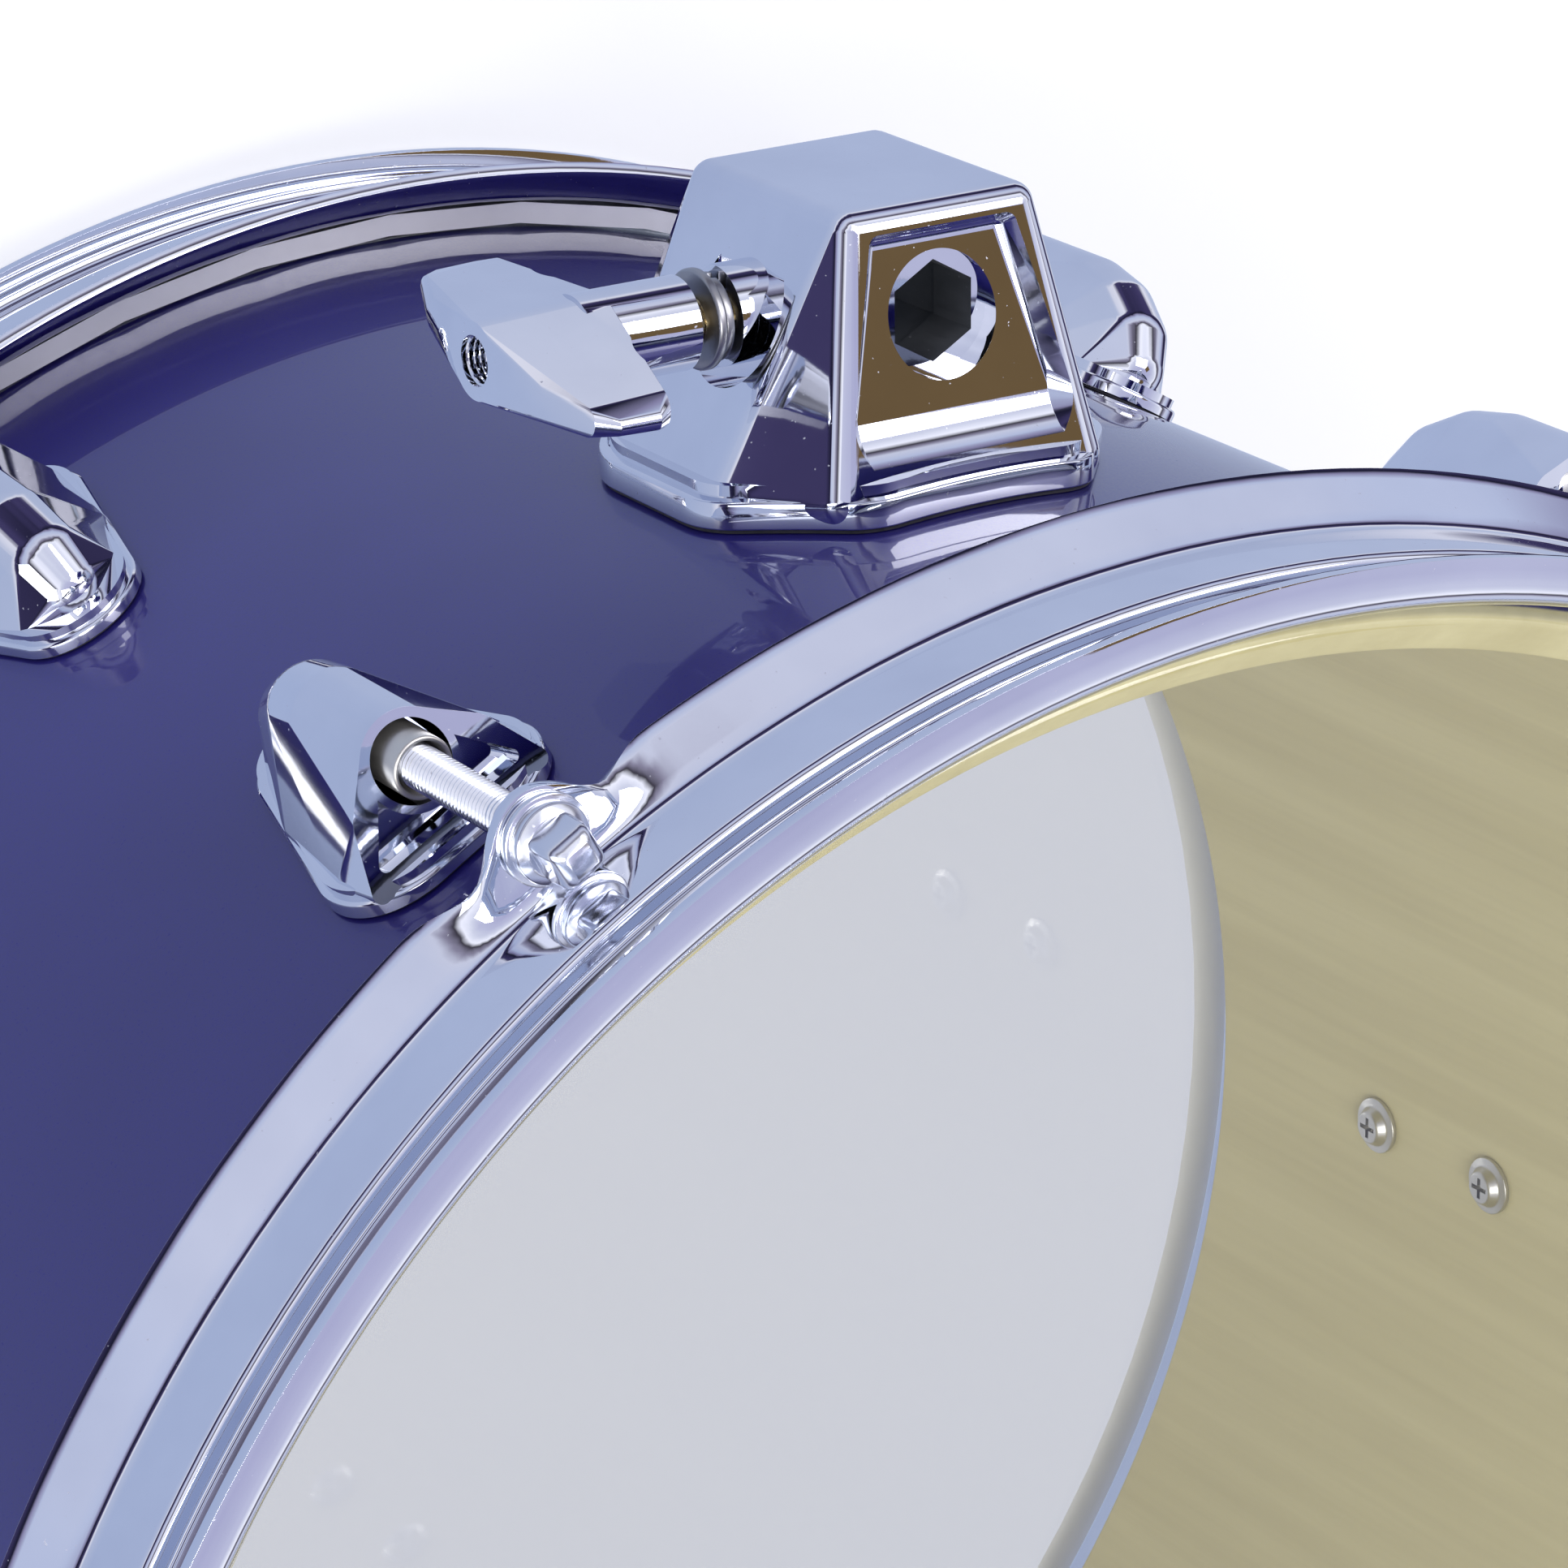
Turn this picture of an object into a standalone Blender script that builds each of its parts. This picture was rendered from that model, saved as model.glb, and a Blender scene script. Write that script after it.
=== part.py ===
# Rack tom of a drum kit: shell, two heads, two triple-flanged hoops, twelve lugs with their
# nuts and tension rods, and a clamping mount bracket with a wing bolt.
# Metres, +Z up. The drum's axis is along Z, the batter head is on top, and the drum stands at
# z = 0 on the rim of its resonant hoop. The bracket faces -Y. The origin is the middle of the
# foot of the whole part's box, so the drum's axis lies a little behind it, on +Y.
import math

import bmesh
import bpy
from mathutils import Matrix, Vector

# Shell: 13 inches across and 8.5 deep, a little undersized so that the heads float on it
SHELL_RADIUS = 0.1640
SHELL_DEPTH = 0.2166
SHELL_WALL = 0.0072
EDGE_ROUND_OVER = 0.0020
EDGE_DROP = 0.0052

# Hoops, pressed from sheet; heights are above the plane of the flange's outer edge
HOOP_SHEET = 0.0016
HOOP_HEIGHT = 0.0284
HOOP_WALL_CLEARANCE = 0.0013
HOOP_STEP = 0.0030
HOOP_STEP_HEIGHT = 0.0184
HOOP_FLANGE_HEIGHT = 0.0070
HOOP_FLANGE_REACH = 0.0060
HOOP_LIP_REACH = 0.0050
EAR_HEIGHT = 0.0060
EAR_RADIUS = 0.0063
EAR_HALF_WIDTH = 0.0150
EAR_HOLE_CLEARANCE = 0.0005

# Heads
HEAD_DROP = 0.0201
FILM = 0.0003
FLESH_HOOP_HEIGHT = 0.0080
FLESH_HOOP_STEP_CLEARANCE = 0.0004

# Tension rods, lug nuts and lugs
LUG_COUNT = 6
ROD_OFFSET = 0.0123
ROD_RADIUS = 0.0027
ROD_TIP_DEPTH = 0.0455
ROD_HEAD_WIDTH = 0.0064
ROD_HEAD_HEIGHT = 0.0062
ROD_HEAD_SQUARE = 0.8
ROD_DOME_FOOT = 0.9
ROD_DOME_TOP = 0.5
ROD_COLLAR_RADIUS = 0.0049
ROD_COLLAR_HEIGHT = 0.0014
WASHER_RADIUS = 0.0056
WASHER_THICKNESS = 0.0012
NUT_RADIUS = 0.0039
NUT_LENGTH = 0.0160
NUT_DEPTH = 0.0275
LUG_FRONT = 0.0183
LUG_LENGTH = 0.0450
LUG_HALF_WIDTH = 0.0160
LUG_HEIGHT = 0.0185
LUG_PLATE = 0.0030
LUG_GASKET = 0.0008
LUG_SCREW_FRONT = 0.0083
LUG_SCREW_SPACING = 0.0284
LUG_SCREW_RADIUS = 0.0022
LUG_SCREW_HEAD_RADIUS = 0.0046
LUG_SCREW_HEAD_HEIGHT = 0.0024
SCREW_HEAD_TOP = 0.8
# Lug outline: share of its half width, share of its length from the front
LUG_OUTLINE = (
    (0.60, 0.0), (0.86, 0.05), (1.0, 0.16), (0.98, 0.28), (0.84, 0.62), (0.68, 0.80), (0.46, 0.93), (0.18, 1.0))
# Lug body: share of its length, of its half width and of its height
LUG_BODY = (
    (0.05, 0.74, 0.14), (0.10, 0.56, 0.62), (0.14, 0.34, 1.0), (0.26, 0.84, 0.14), (0.45, 0.32, 1.0),
    (0.64, 0.70, 0.14), (0.64, 0.30, 0.95), (0.79, 0.30, 0.76), (0.90, 0.28, 0.46), (0.95, 0.26, 0.16))
LUG_FOOT = ((0.06, 0.72), (0.90, 0.34))

# Mount bracket, its gasket and its screws
BRACKET_FRONT = 0.0348
BRACKET_LENGTH = 0.0604
BRACKET_HALF_WIDTH = 0.0305
BRACKET_FRONT_HALF_WIDTH = 0.0200
BRACKET_PLATE = 0.0036
BRACKET_HEIGHT = 0.0370
BRACKET_TOP_HALF_WIDTH = 0.0143
BRACKET_TOP_LENGTH = 0.0360
BRACKET_MARGIN = 0.0026
BRACKET_CORNER = 0.0157
BRACKET_SHOULDER = 0.0204
BRACKET_CUT = 0.0024
BRACKET_CORNER_SHARE = 0.97
BRACKET_FRONT_SHARE = 0.86
BRACKET_BODY_BACK = 0.0121
BRACKET_EDGE = 0.0016
CUTTER_REACH = 0.0100
BRACKET_GASKET = 0.0015
SOCKET_HEIGHT = 0.0225
SOCKET_ACROSS_FLATS = 0.0114
SOCKET_RECESS_RADIUS = 0.0079
SOCKET_RECESS_DEPTH = 0.0022
BRACKET_SCREW_TURN = math.radians(7.5)
BRACKET_SCREW_SPACING = 0.0280
BRACKET_SCREW_RADIUS = 0.0024
BRACKET_SCREW_GRIP = 0.0055

# Clamp: the wing bolt turns in the bracket's boss and draws the jaw against the hexagonal arm
BOLT_RADIUS = 0.0029
BOLT_BOSS_RADIUS = 0.0068
BOLT_BOSS_REACH = 0.0232
BOLT_BOSS_LENGTH = 0.0100
BOLT_RISE = 0.0052
JAW_HALF_HEIGHT = 0.0096
JAW_THICKNESS = 0.0095
JAW_EYE_CLEARANCE = 0.0004
JAW_BACK_WALL = 0.0034
JAW_BOLT_WALL = 0.0065
JAW_TRAVEL = 0.0013
SPRING_WASHER_THICKNESS = 0.0016
FLAT_WASHER_THICKNESS = 0.0012
SPRING_WASHER_RADIUS = 0.0056
FLAT_WASHER_RADIUS = 0.0064
WING_GAP = 0.0022
WING_HUB_RADIUS = 0.0060
WING_HUB_LENGTH = 0.0190
WING_SPAN = 0.0235
WING_REACH = 0.0290
WING_THICKNESS = 0.0074
WING_TILT = math.radians(11.0)
WING_HOLE_RADIUS = 0.0029
WING_HOLE_DEPTH = 0.0070
WING_EDGE = 0.0014
WING_ROOT = 0.0040
WING_TIP_LOW = 0.42
WING_TIP_HIGH = 0.72
WING_STEPS = 4

# Air vent, opposite the bracket
VENT_BORE_RADIUS = 0.0050
VENT_WALL = 0.0014
VENT_FLANGE_RADIUS = 0.0105
VENT_FLANGE_THICKNESS = 0.0014

# Clearances between touching pieces, running clearances and facet counts
SEAT_GAP = 0.0003
RUN_GAP = 0.0003
SCREW_HOLE_CLEARANCE = 0.0006
RING_STEPS = 48
SMALL_STEPS = 12
HOLE_STEPS = 8
BOSS_STEPS = 16
MERGE = 0.00001

# Heights of the bearing edges and of the hoops' flange planes
LOW_FLANGE_Z = HOOP_HEIGHT
LOW_EDGE_Z = LOW_FLANGE_Z - HEAD_DROP
HIGH_EDGE_Z = LOW_EDGE_Z + SHELL_DEPTH
HIGH_FLANGE_Z = HIGH_EDGE_Z - HEAD_DROP
MIDDLE_Z = (LOW_EDGE_Z + HIGH_EDGE_Z) / 2

ROD_AXIS_RADIUS = SHELL_RADIUS + ROD_OFFSET
SHELL_INNER_RADIUS = SHELL_RADIUS - SHELL_WALL
BRACKET_ANGLE = -math.pi / 2
BRACKET_MIDDLE = -(BRACKET_FRONT + BRACKET_LENGTH / 2)
SOCKET_RADIUS = SHELL_RADIUS + SOCKET_HEIGHT
SOCKET_CORNER_RADIUS = SOCKET_ACROSS_FLATS / 2 / math.cos(math.pi / 6)
# A flat screw head clears the facets of the shell's inner wall beside it
SCREW_SEAT_RADIUS = SHELL_INNER_RADIUS - SEAT_GAP - LUG_SCREW_HEAD_RADIUS * math.tan(math.pi / RING_STEPS)
TOP_FLANGE = Matrix.Translation((0, 0, HIGH_FLANGE_Z))
BOTTOM_FLANGE = Matrix.Translation((0, 0, LOW_FLANGE_Z)) @ Matrix.Rotation(math.pi, 4, 'X')


def new_collection(name):
    collection = bpy.data.collections.new(name)
    bpy.context.scene.collection.children.link(collection)
    return collection


def new_material(name, color, roughness, metallic):
    material = bpy.data.materials.new(name)
    material.use_nodes = True
    shader = material.node_tree.nodes["Principled BSDF"]
    shader.inputs["Base Color"].default_value = (*color, 1.0)
    shader.inputs["Roughness"].default_value = roughness
    shader.inputs["Metallic"].default_value = metallic
    material.diffuse_color = (*color, 1.0)
    return material


def link(name, mesh, collection, material=None):
    obj = bpy.data.objects.new(name, mesh)
    collection.objects.link(obj)
    if material is not None:
        obj.data.materials.clear()
        obj.data.materials.append(material)
    return obj


def as_cutter(obj):
    obj.hide_render = True
    obj.display_type = 'WIRE'
    return obj


def mesh_from(bm, name):
    mesh = bpy.data.meshes.new(name)
    bmesh.ops.recalc_face_normals(bm, faces=bm.faces)
    bm.to_mesh(mesh)
    bm.free()
    return mesh


def baked(obj):
    """Replace an object's live modifiers by the mesh they give."""
    bpy.context.view_layer.update()
    evaluated = obj.evaluated_get(bpy.context.evaluated_depsgraph_get())
    mesh = bpy.data.meshes.new_from_object(evaluated)
    obj.modifiers.clear()
    obj.data = mesh
    return obj


def smooth(obj, angle=40):
    obj.data.shade_smooth()
    obj.data.set_sharp_from_angle(angle=math.radians(angle))
    return obj


def turned(name, profile, collection, material, steps=RING_STEPS):
    """Turn a (radius, height) outline about Z; its outer side runs from top to bottom."""
    mesh = bpy.data.meshes.new(name)
    edges = [(i, i + 1) for i in range(len(profile) - 1)]
    if profile[0][0] > 0:
        edges.append((len(profile) - 1, 0))
    mesh.from_pydata([(r, 0, z) for r, z in profile], edges, [])
    obj = link(name, mesh, collection, material)
    screw = obj.modifiers.new("turn", 'SCREW')
    screw.axis = 'Z'
    screw.angle = 2 * math.pi
    screw.steps = steps
    screw.render_steps = steps
    screw.use_merge_vertices = True
    screw.merge_threshold = MERGE
    return obj


def along(start, end):
    """Matrix that carries a unit +Z cylinder from start to end."""
    direction = Vector(end) - Vector(start)
    turn = direction.to_track_quat('Z', 'Y').to_matrix().to_4x4()
    return Matrix.Translation((Vector(start) + Vector(end)) / 2) @ turn, direction.length


def add_rod(bm, start, end, radius, end_radius=None, steps=SMALL_STEPS, roll=0.0):
    matrix, length = along(start, end)
    bmesh.ops.create_cone(
        bm, cap_ends=True, segments=steps, radius1=radius,
        radius2=radius if end_radius is None else end_radius, depth=length,
        matrix=matrix @ Matrix.Rotation(roll, 4, 'Z'))


def rod_object(name, start, end, radius, collection, steps=SMALL_STEPS, roll=0.0):
    bm = bmesh.new()
    add_rod(bm, start, end, radius, None, steps, roll)
    return link(name, mesh_from(bm, name), collection)


def hull_object(name, points, collection, material=None):
    bm = bmesh.new()
    verts = [bm.verts.new(p) for p in points]
    found = bmesh.ops.convex_hull(bm, input=verts)
    loose = [v for v in found["geom_interior"] if isinstance(v, bmesh.types.BMVert)]
    bmesh.ops.delete(bm, geom=loose, context='VERTS')
    bmesh.ops.dissolve_limit(bm, angle_limit=math.radians(1), verts=bm.verts, edges=bm.edges)
    return link(name, mesh_from(bm, name), collection, material)


def boolean(obj, cutter, operation):
    modifier = obj.modifiers.new(operation.lower(), 'BOOLEAN')
    modifier.operation = operation
    modifier.solver = 'EXACT'
    modifier.object = cutter
    as_cutter(cutter)


def bevel(obj, width, angle=30):
    modifier = obj.modifiers.new("edges", 'BEVEL')
    modifier.width = width
    modifier.segments = 1
    modifier.limit_method = 'ANGLE'
    modifier.angle_limit = math.radians(angle)


def copies(master, names, matrices, collection, material):
    """Give each copy of a repeated piece its own object, on one shared mesh."""
    mesh = master.data
    mesh.materials.clear()
    mesh.materials.append(material)
    bpy.data.objects.remove(master)
    for name, matrix in zip(names, matrices):
        obj = bpy.data.objects.new(name, mesh)
        collection.objects.link(obj)
        obj.matrix_world = matrix


def lug_matrices():
    """Place of each lug, rod and nut: batter side first, then the resonant side turned over."""
    step = 2 * math.pi / LUG_COUNT
    turns = [BRACKET_ANGLE + step * (i + 0.5) for i in range(LUG_COUNT)]
    top = [Matrix.Rotation(turn, 4, 'Z') @ TOP_FLANGE for turn in turns]
    bottom = [Matrix.Rotation(turn, 4, 'Z') @ BOTTOM_FLANGE for turn in turns]
    return top + bottom


def lug_names(piece):
    return [f"{piece}_{side}_{i + 1}" for side in ("batter", "resonant") for i in range(LUG_COUNT)]


def lug_screw_heights():
    front = -(LUG_FRONT + LUG_SCREW_FRONT)
    return front, front - LUG_SCREW_SPACING


def bracket_frame():
    """Bracket frame: X is radial, Y runs along the wing bolt, Z = 0 at the batter flange plane."""
    return Matrix.Rotation(BRACKET_ANGLE, 4, 'Z') @ TOP_FLANGE


def bracket_screw_places():
    """Angle from the bracket's middle and height of each of its four screws."""
    rise = BRACKET_SCREW_SPACING / 2
    return [(side * BRACKET_SCREW_TURN, BRACKET_MIDDLE + end * rise)
            for end in (1, -1) for side in (1, -1)]


def radial(turn, radius, z):
    return Vector((radius * math.cos(turn), radius * math.sin(turn), z))


def make_shell(parts, cutters, material):
    outer, inner = SHELL_RADIUS, SHELL_INNER_RADIUS
    peak = outer - EDGE_ROUND_OVER
    half = SHELL_DEPTH / 2
    profile = [
        (peak, half), (outer, half - EDGE_ROUND_OVER), (outer, -half + EDGE_ROUND_OVER),
        (peak, -half), (inner, -half + EDGE_DROP), (inner, half - EDGE_DROP)]
    shell = turned("shell", profile, parts, material)
    shell.location.z = MIDDLE_Z
    bm = bmesh.new()
    hole = LUG_SCREW_RADIUS + SCREW_HOLE_CLEARANCE
    for matrix in lug_matrices():
        for z in lug_screw_heights():
            start = matrix @ Vector((inner - SHELL_WALL, 0, z))
            end = matrix @ Vector((outer + SHELL_WALL, 0, z))
            add_rod(bm, start, end, hole, steps=HOLE_STEPS)
    hole = BRACKET_SCREW_RADIUS + SCREW_HOLE_CLEARANCE
    for turn, z in bracket_screw_places():
        start = bracket_frame() @ radial(turn, inner - SHELL_WALL, z)
        end = bracket_frame() @ radial(turn, outer + SHELL_WALL, z)
        add_rod(bm, start, end, hole, steps=HOLE_STEPS)
    add_rod(bm, (0, inner - SHELL_WALL, MIDDLE_Z), (0, outer + SHELL_WALL, MIDDLE_Z),
            VENT_BORE_RADIUS + VENT_WALL + SEAT_GAP)
    boolean(shell, link("shell_holes", mesh_from(bm, "shell_holes"), cutters), 'DIFFERENCE')
    return smooth(baked(shell))


def hoop_profile():
    """Section of a triple-flanged hoop: lip, wall, step over the flesh hoop, skirt and flange."""
    wall_in = SHELL_RADIUS + HOOP_WALL_CLEARANCE
    wall_out = wall_in + HOOP_SHEET
    skirt_out = skirt_radius()
    skirt_in = skirt_out - HOOP_SHEET
    flange_out = skirt_out + HOOP_FLANGE_REACH
    lip_out = wall_out + HOOP_LIP_REACH
    top = HOOP_HEIGHT
    step = HOOP_STEP_HEIGHT
    knee = HOOP_FLANGE_HEIGHT
    return [
        (lip_out, top), (lip_out, top - HOOP_SHEET), (wall_out, top - 2 * HOOP_SHEET),
        (wall_out, step + HOOP_SHEET / 2), (skirt_out - HOOP_SHEET / 2, step),
        (skirt_out, step - HOOP_SHEET), (skirt_out, knee),
        (skirt_out + HOOP_FLANGE_REACH / 3, knee / 2), (flange_out, HOOP_SHEET / 2),
        (flange_out - HOOP_SHEET / 2, -HOOP_SHEET / 2),
        (skirt_in + HOOP_FLANGE_REACH / 3, knee / 2 - HOOP_SHEET / 2),
        (skirt_in, knee - HOOP_SHEET / 2),
        (skirt_in, step - HOOP_SHEET), (wall_in, step - HOOP_SHEET / 2),
        (wall_in, top - HOOP_SHEET / 2), (wall_in + HOOP_SHEET / 2, top)]


def skirt_radius():
    return SHELL_RADIUS + HOOP_WALL_CLEARANCE + HOOP_SHEET + HOOP_STEP


def ear_object(name, turn, cutters):
    """Flat pad for one rod: a rounded nose with shoulders that run back into the skirt."""
    inside = skirt_radius() - HOOP_SHEET / 2
    shoulder = math.sqrt(inside ** 2 - EAR_HALF_WIDTH ** 2)
    points = []
    for k in range(HOLE_STEPS + 1):
        a = math.pi * (k / HOLE_STEPS - 0.5)
        reach = ROD_AXIS_RADIUS + EAR_RADIUS * math.cos(a)
        points.append((reach, EAR_RADIUS * math.sin(a), EAR_HEIGHT))
    for side in (1, -1):
        points.append((shoulder, side * EAR_HALF_WIDTH, EAR_HEIGHT))
        points.append((shoulder, side * EAR_HALF_WIDTH, HOOP_SHEET))
        points.append((inside, side * EAR_RADIUS / 2, EAR_HEIGHT))
        points.append((inside, side * EAR_RADIUS / 2, HOOP_SHEET))
        points.append((ROD_AXIS_RADIUS + EAR_RADIUS, side * EAR_RADIUS / 4, EAR_HEIGHT - HOOP_SHEET))
    return hull_object(name, [turn @ Vector(p) for p in points], cutters)


def make_hoops(parts, cutters, material):
    hoop = turned("hoop", hoop_profile(), parts, material)
    bm = bmesh.new()
    for i in range(LUG_COUNT):
        turn = BRACKET_ANGLE + 2 * math.pi * (i + 0.5) / LUG_COUNT
        ear = ear_object(f"ear_{i + 1}", Matrix.Rotation(turn, 4, 'Z'), cutters)
        boolean(hoop, ear, 'UNION')
        add_rod(bm, radial(turn, ROD_AXIS_RADIUS, -HOOP_FLANGE_HEIGHT),
                radial(turn, ROD_AXIS_RADIUS, HOOP_STEP_HEIGHT), ROD_RADIUS + EAR_HOLE_CLEARANCE)
    boolean(hoop, link("ear_holes", mesh_from(bm, "ear_holes"), cutters), 'DIFFERENCE')
    smooth(baked(hoop))
    copies(hoop, ["batter_hoop", "resonant_hoop"], [TOP_FLANGE, BOTTOM_FLANGE], parts, material)


def make_heads(parts, film_material, metal_material):
    """Head film with its collar, and the flesh hoop that grips the collar under the hoop's step."""
    over = HEAD_DROP + SEAT_GAP
    collar_in = SHELL_RADIUS + SEAT_GAP
    collar_out = collar_in + FILM
    bend = EDGE_ROUND_OVER
    flesh_top = HOOP_STEP_HEIGHT - HOOP_SHEET - FLESH_HOOP_STEP_CLEARANCE
    flesh_bottom = flesh_top - FLESH_HOOP_HEIGHT
    profile = [
        (0, over + FILM), (SHELL_RADIUS - bend, over + FILM), (collar_out, over - bend),
        (collar_out, flesh_bottom), (collar_in, flesh_bottom), (collar_in, over - bend),
        (SHELL_RADIUS - bend, over), (0, over)]
    film = smooth(baked(turned("film", profile, parts, film_material)), 20)
    copies(film, ["batter_head", "resonant_head"], [TOP_FLANGE, BOTTOM_FLANGE], parts, film_material)
    flesh_in = collar_out + SEAT_GAP
    flesh_out = skirt_radius() - HOOP_SHEET - SEAT_GAP
    profile = [
        (flesh_out, flesh_top), (flesh_out, flesh_bottom),
        (flesh_in, flesh_bottom), (flesh_in, flesh_top)]
    ring = smooth(baked(turned("flesh_hoop", profile, parts, metal_material)))
    names = ["batter_flesh_hoop", "resonant_flesh_hoop"]
    copies(ring, names, [TOP_FLANGE, BOTTOM_FLANGE], parts, metal_material)


def make_rods(parts, cutters, material):
    """Tension rod with its square head, collar and washer, hung through the hoop's ear."""
    x = ROD_AXIS_RADIUS
    washer_z = EAR_HEIGHT + SEAT_GAP
    collar_z = washer_z + WASHER_THICKNESS
    head_z = collar_z + ROD_COLLAR_HEIGHT
    rod = rod_object("rod", (x, 0, -ROD_TIP_DEPTH), (x, 0, head_z), ROD_RADIUS, parts)
    pieces = [
        rod_object("rod_washer", (x, 0, washer_z), (x, 0, collar_z), WASHER_RADIUS, cutters),
        rod_object("rod_collar", (x, 0, collar_z - WASHER_THICKNESS / 2), (x, 0, head_z),
                   ROD_COLLAR_RADIUS, cutters)]
    bm = bmesh.new()
    corner = ROD_HEAD_WIDTH / math.sqrt(2)
    neck = head_z - ROD_COLLAR_HEIGHT / 2
    shoulder = head_z + ROD_HEAD_HEIGHT * ROD_HEAD_SQUARE
    add_rod(bm, (x, 0, neck), (x, 0, shoulder), corner, None, 4, math.pi / 4)
    pieces.append(link("rod_square", mesh_from(bm, "rod_square"), cutters))
    bm = bmesh.new()
    add_rod(bm, (x, 0, shoulder - RUN_GAP), (x, 0, head_z + ROD_HEAD_HEIGHT),
            corner * ROD_DOME_FOOT, corner * ROD_DOME_TOP, HOLE_STEPS)
    pieces.append(link("rod_dome", mesh_from(bm, "rod_dome"), cutters))
    for piece in pieces:
        boolean(rod, piece, 'UNION')
    smooth(baked(rod))
    copies_on_axis(rod, "tension_rod", parts, material)


def copies_on_axis(master, piece, parts, material):
    """Move the mesh's origin onto the rod's own axis, so that each copy turns about its origin."""
    master.data.transform(Matrix.Translation((-ROD_AXIS_RADIUS, 0, 0)))
    shift = Matrix.Translation((ROD_AXIS_RADIUS, 0, 0))
    copies(master, lug_names(piece), [m @ shift for m in lug_matrices()], parts, material)


def make_nuts(parts, material):
    profile = [
        (NUT_RADIUS, 0), (NUT_RADIUS, -NUT_LENGTH),
        (ROD_RADIUS + RUN_GAP, -NUT_LENGTH), (ROD_RADIUS + RUN_GAP, 0)]
    nut = smooth(baked(turned("nut", profile, parts, material, SMALL_STEPS)))
    nut.data.transform(Matrix.Translation((0, 0, -NUT_DEPTH)))
    shift = Matrix.Translation((ROD_AXIS_RADIUS, 0, 0))
    copies(nut, lug_names("lug_nut"), [m @ shift for m in lug_matrices()], parts, material)


def lug_plate_points(base):
    points = []
    for share, reach in LUG_OUTLINE:
        for side in (1, -1):
            y = side * share * LUG_HALF_WIDTH
            z = -LUG_FRONT - reach * LUG_LENGTH
            x = math.sqrt(base ** 2 - y ** 2)
            points.append((x - LUG_PLATE, y, z))
            points.append((x + LUG_PLATE, y, z))
    return points


def lug_body_points(base):
    points = []
    for reach, share, height in LUG_BODY:
        for side in (1, -1):
            z = -LUG_FRONT - reach * LUG_LENGTH
            points.append((SHELL_RADIUS + height * LUG_HEIGHT, side * share * LUG_HALF_WIDTH, z))
    for reach, share in LUG_FOOT:
        for side in (1, -1):
            z = -LUG_FRONT - reach * LUG_LENGTH
            points.append((base - LUG_PLATE / 2, side * share * LUG_HALF_WIDTH, z))
    return points


def shell_screw(name, outer_end, z, radius, cutters):
    """Shank from the shell's inner wall outwards, and its head inside the shell."""
    bm = bmesh.new()
    add_rod(bm, (SCREW_SEAT_RADIUS - LUG_SCREW_HEAD_HEIGHT / 2, 0, z), (outer_end, 0, z),
            radius, steps=HOLE_STEPS)
    shank = link(name + "_shank", mesh_from(bm, name + "_shank"), cutters)
    bm = bmesh.new()
    add_rod(bm, (SCREW_SEAT_RADIUS - LUG_SCREW_HEAD_HEIGHT, 0, z), (SCREW_SEAT_RADIUS, 0, z),
            LUG_SCREW_HEAD_RADIUS * SCREW_HEAD_TOP, LUG_SCREW_HEAD_RADIUS, HOLE_STEPS)
    return shank, link(name + "_head", mesh_from(bm, name + "_head"), cutters)


def make_lugs(parts, cutters, material):
    """Lug: a plate that follows the shell, a faceted body, the rod tunnel and two long screws."""
    base = SHELL_RADIUS + SEAT_GAP + LUG_GASKET
    back = -(LUG_FRONT + LUG_LENGTH)
    mouth = LUG_PLATE - LUG_FRONT
    lug = hull_object("lug", lug_plate_points(base), parts, material)
    boolean(lug, hull_object("lug_body", lug_body_points(base), cutters), 'UNION')
    underside = rod_object("lug_underside", (0, 0, back - LUG_PLATE), (0, 0, mouth), base,
                           cutters, RING_STEPS)
    boolean(lug, underside, 'DIFFERENCE')
    for i, z in enumerate(lug_screw_heights()):
        for piece in shell_screw(f"lug_screw_{i + 1}", base + LUG_PLATE / 2, z, LUG_SCREW_RADIUS, cutters):
            boolean(lug, piece, 'UNION')
    x = ROD_AXIS_RADIUS
    end = -(NUT_DEPTH + NUT_LENGTH + RUN_GAP)
    tip = -(ROD_TIP_DEPTH + HOOP_SHEET)
    tunnel = rod_object("lug_tunnel", (x, 0, end), (x, 0, mouth), NUT_RADIUS + RUN_GAP, cutters)
    bore = rod_object("lug_rod_bore", (x, 0, tip), (x, 0, end + LUG_PLATE), ROD_RADIUS + RUN_GAP, cutters)
    boolean(lug, tunnel, 'DIFFERENCE')
    boolean(lug, bore, 'DIFFERENCE')
    smooth(baked(lug), 25)
    copies(lug, lug_names("lug"), lug_matrices(), parts, material)


def bracket_outline(margin):
    """Plan of the bracket's base as (along the shell's turn, along the drum) points."""
    front = -BRACKET_FRONT + margin
    back = -(BRACKET_FRONT + BRACKET_LENGTH) - margin
    wide = BRACKET_HALF_WIDTH + margin
    narrow = BRACKET_FRONT_HALF_WIDTH + margin
    side = [
        (narrow * BRACKET_FRONT_SHARE, front), (narrow, front - BRACKET_CUT),
        (wide * BRACKET_CORNER_SHARE, front - BRACKET_CORNER), (wide, front - BRACKET_SHOULDER),
        (wide, back + BRACKET_SHOULDER), (wide * BRACKET_CORNER_SHARE, back + BRACKET_CORNER),
        (narrow, back + BRACKET_CUT), (narrow * BRACKET_FRONT_SHARE, back)]
    return side + [(-y, z) for y, z in reversed(side)]


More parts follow.
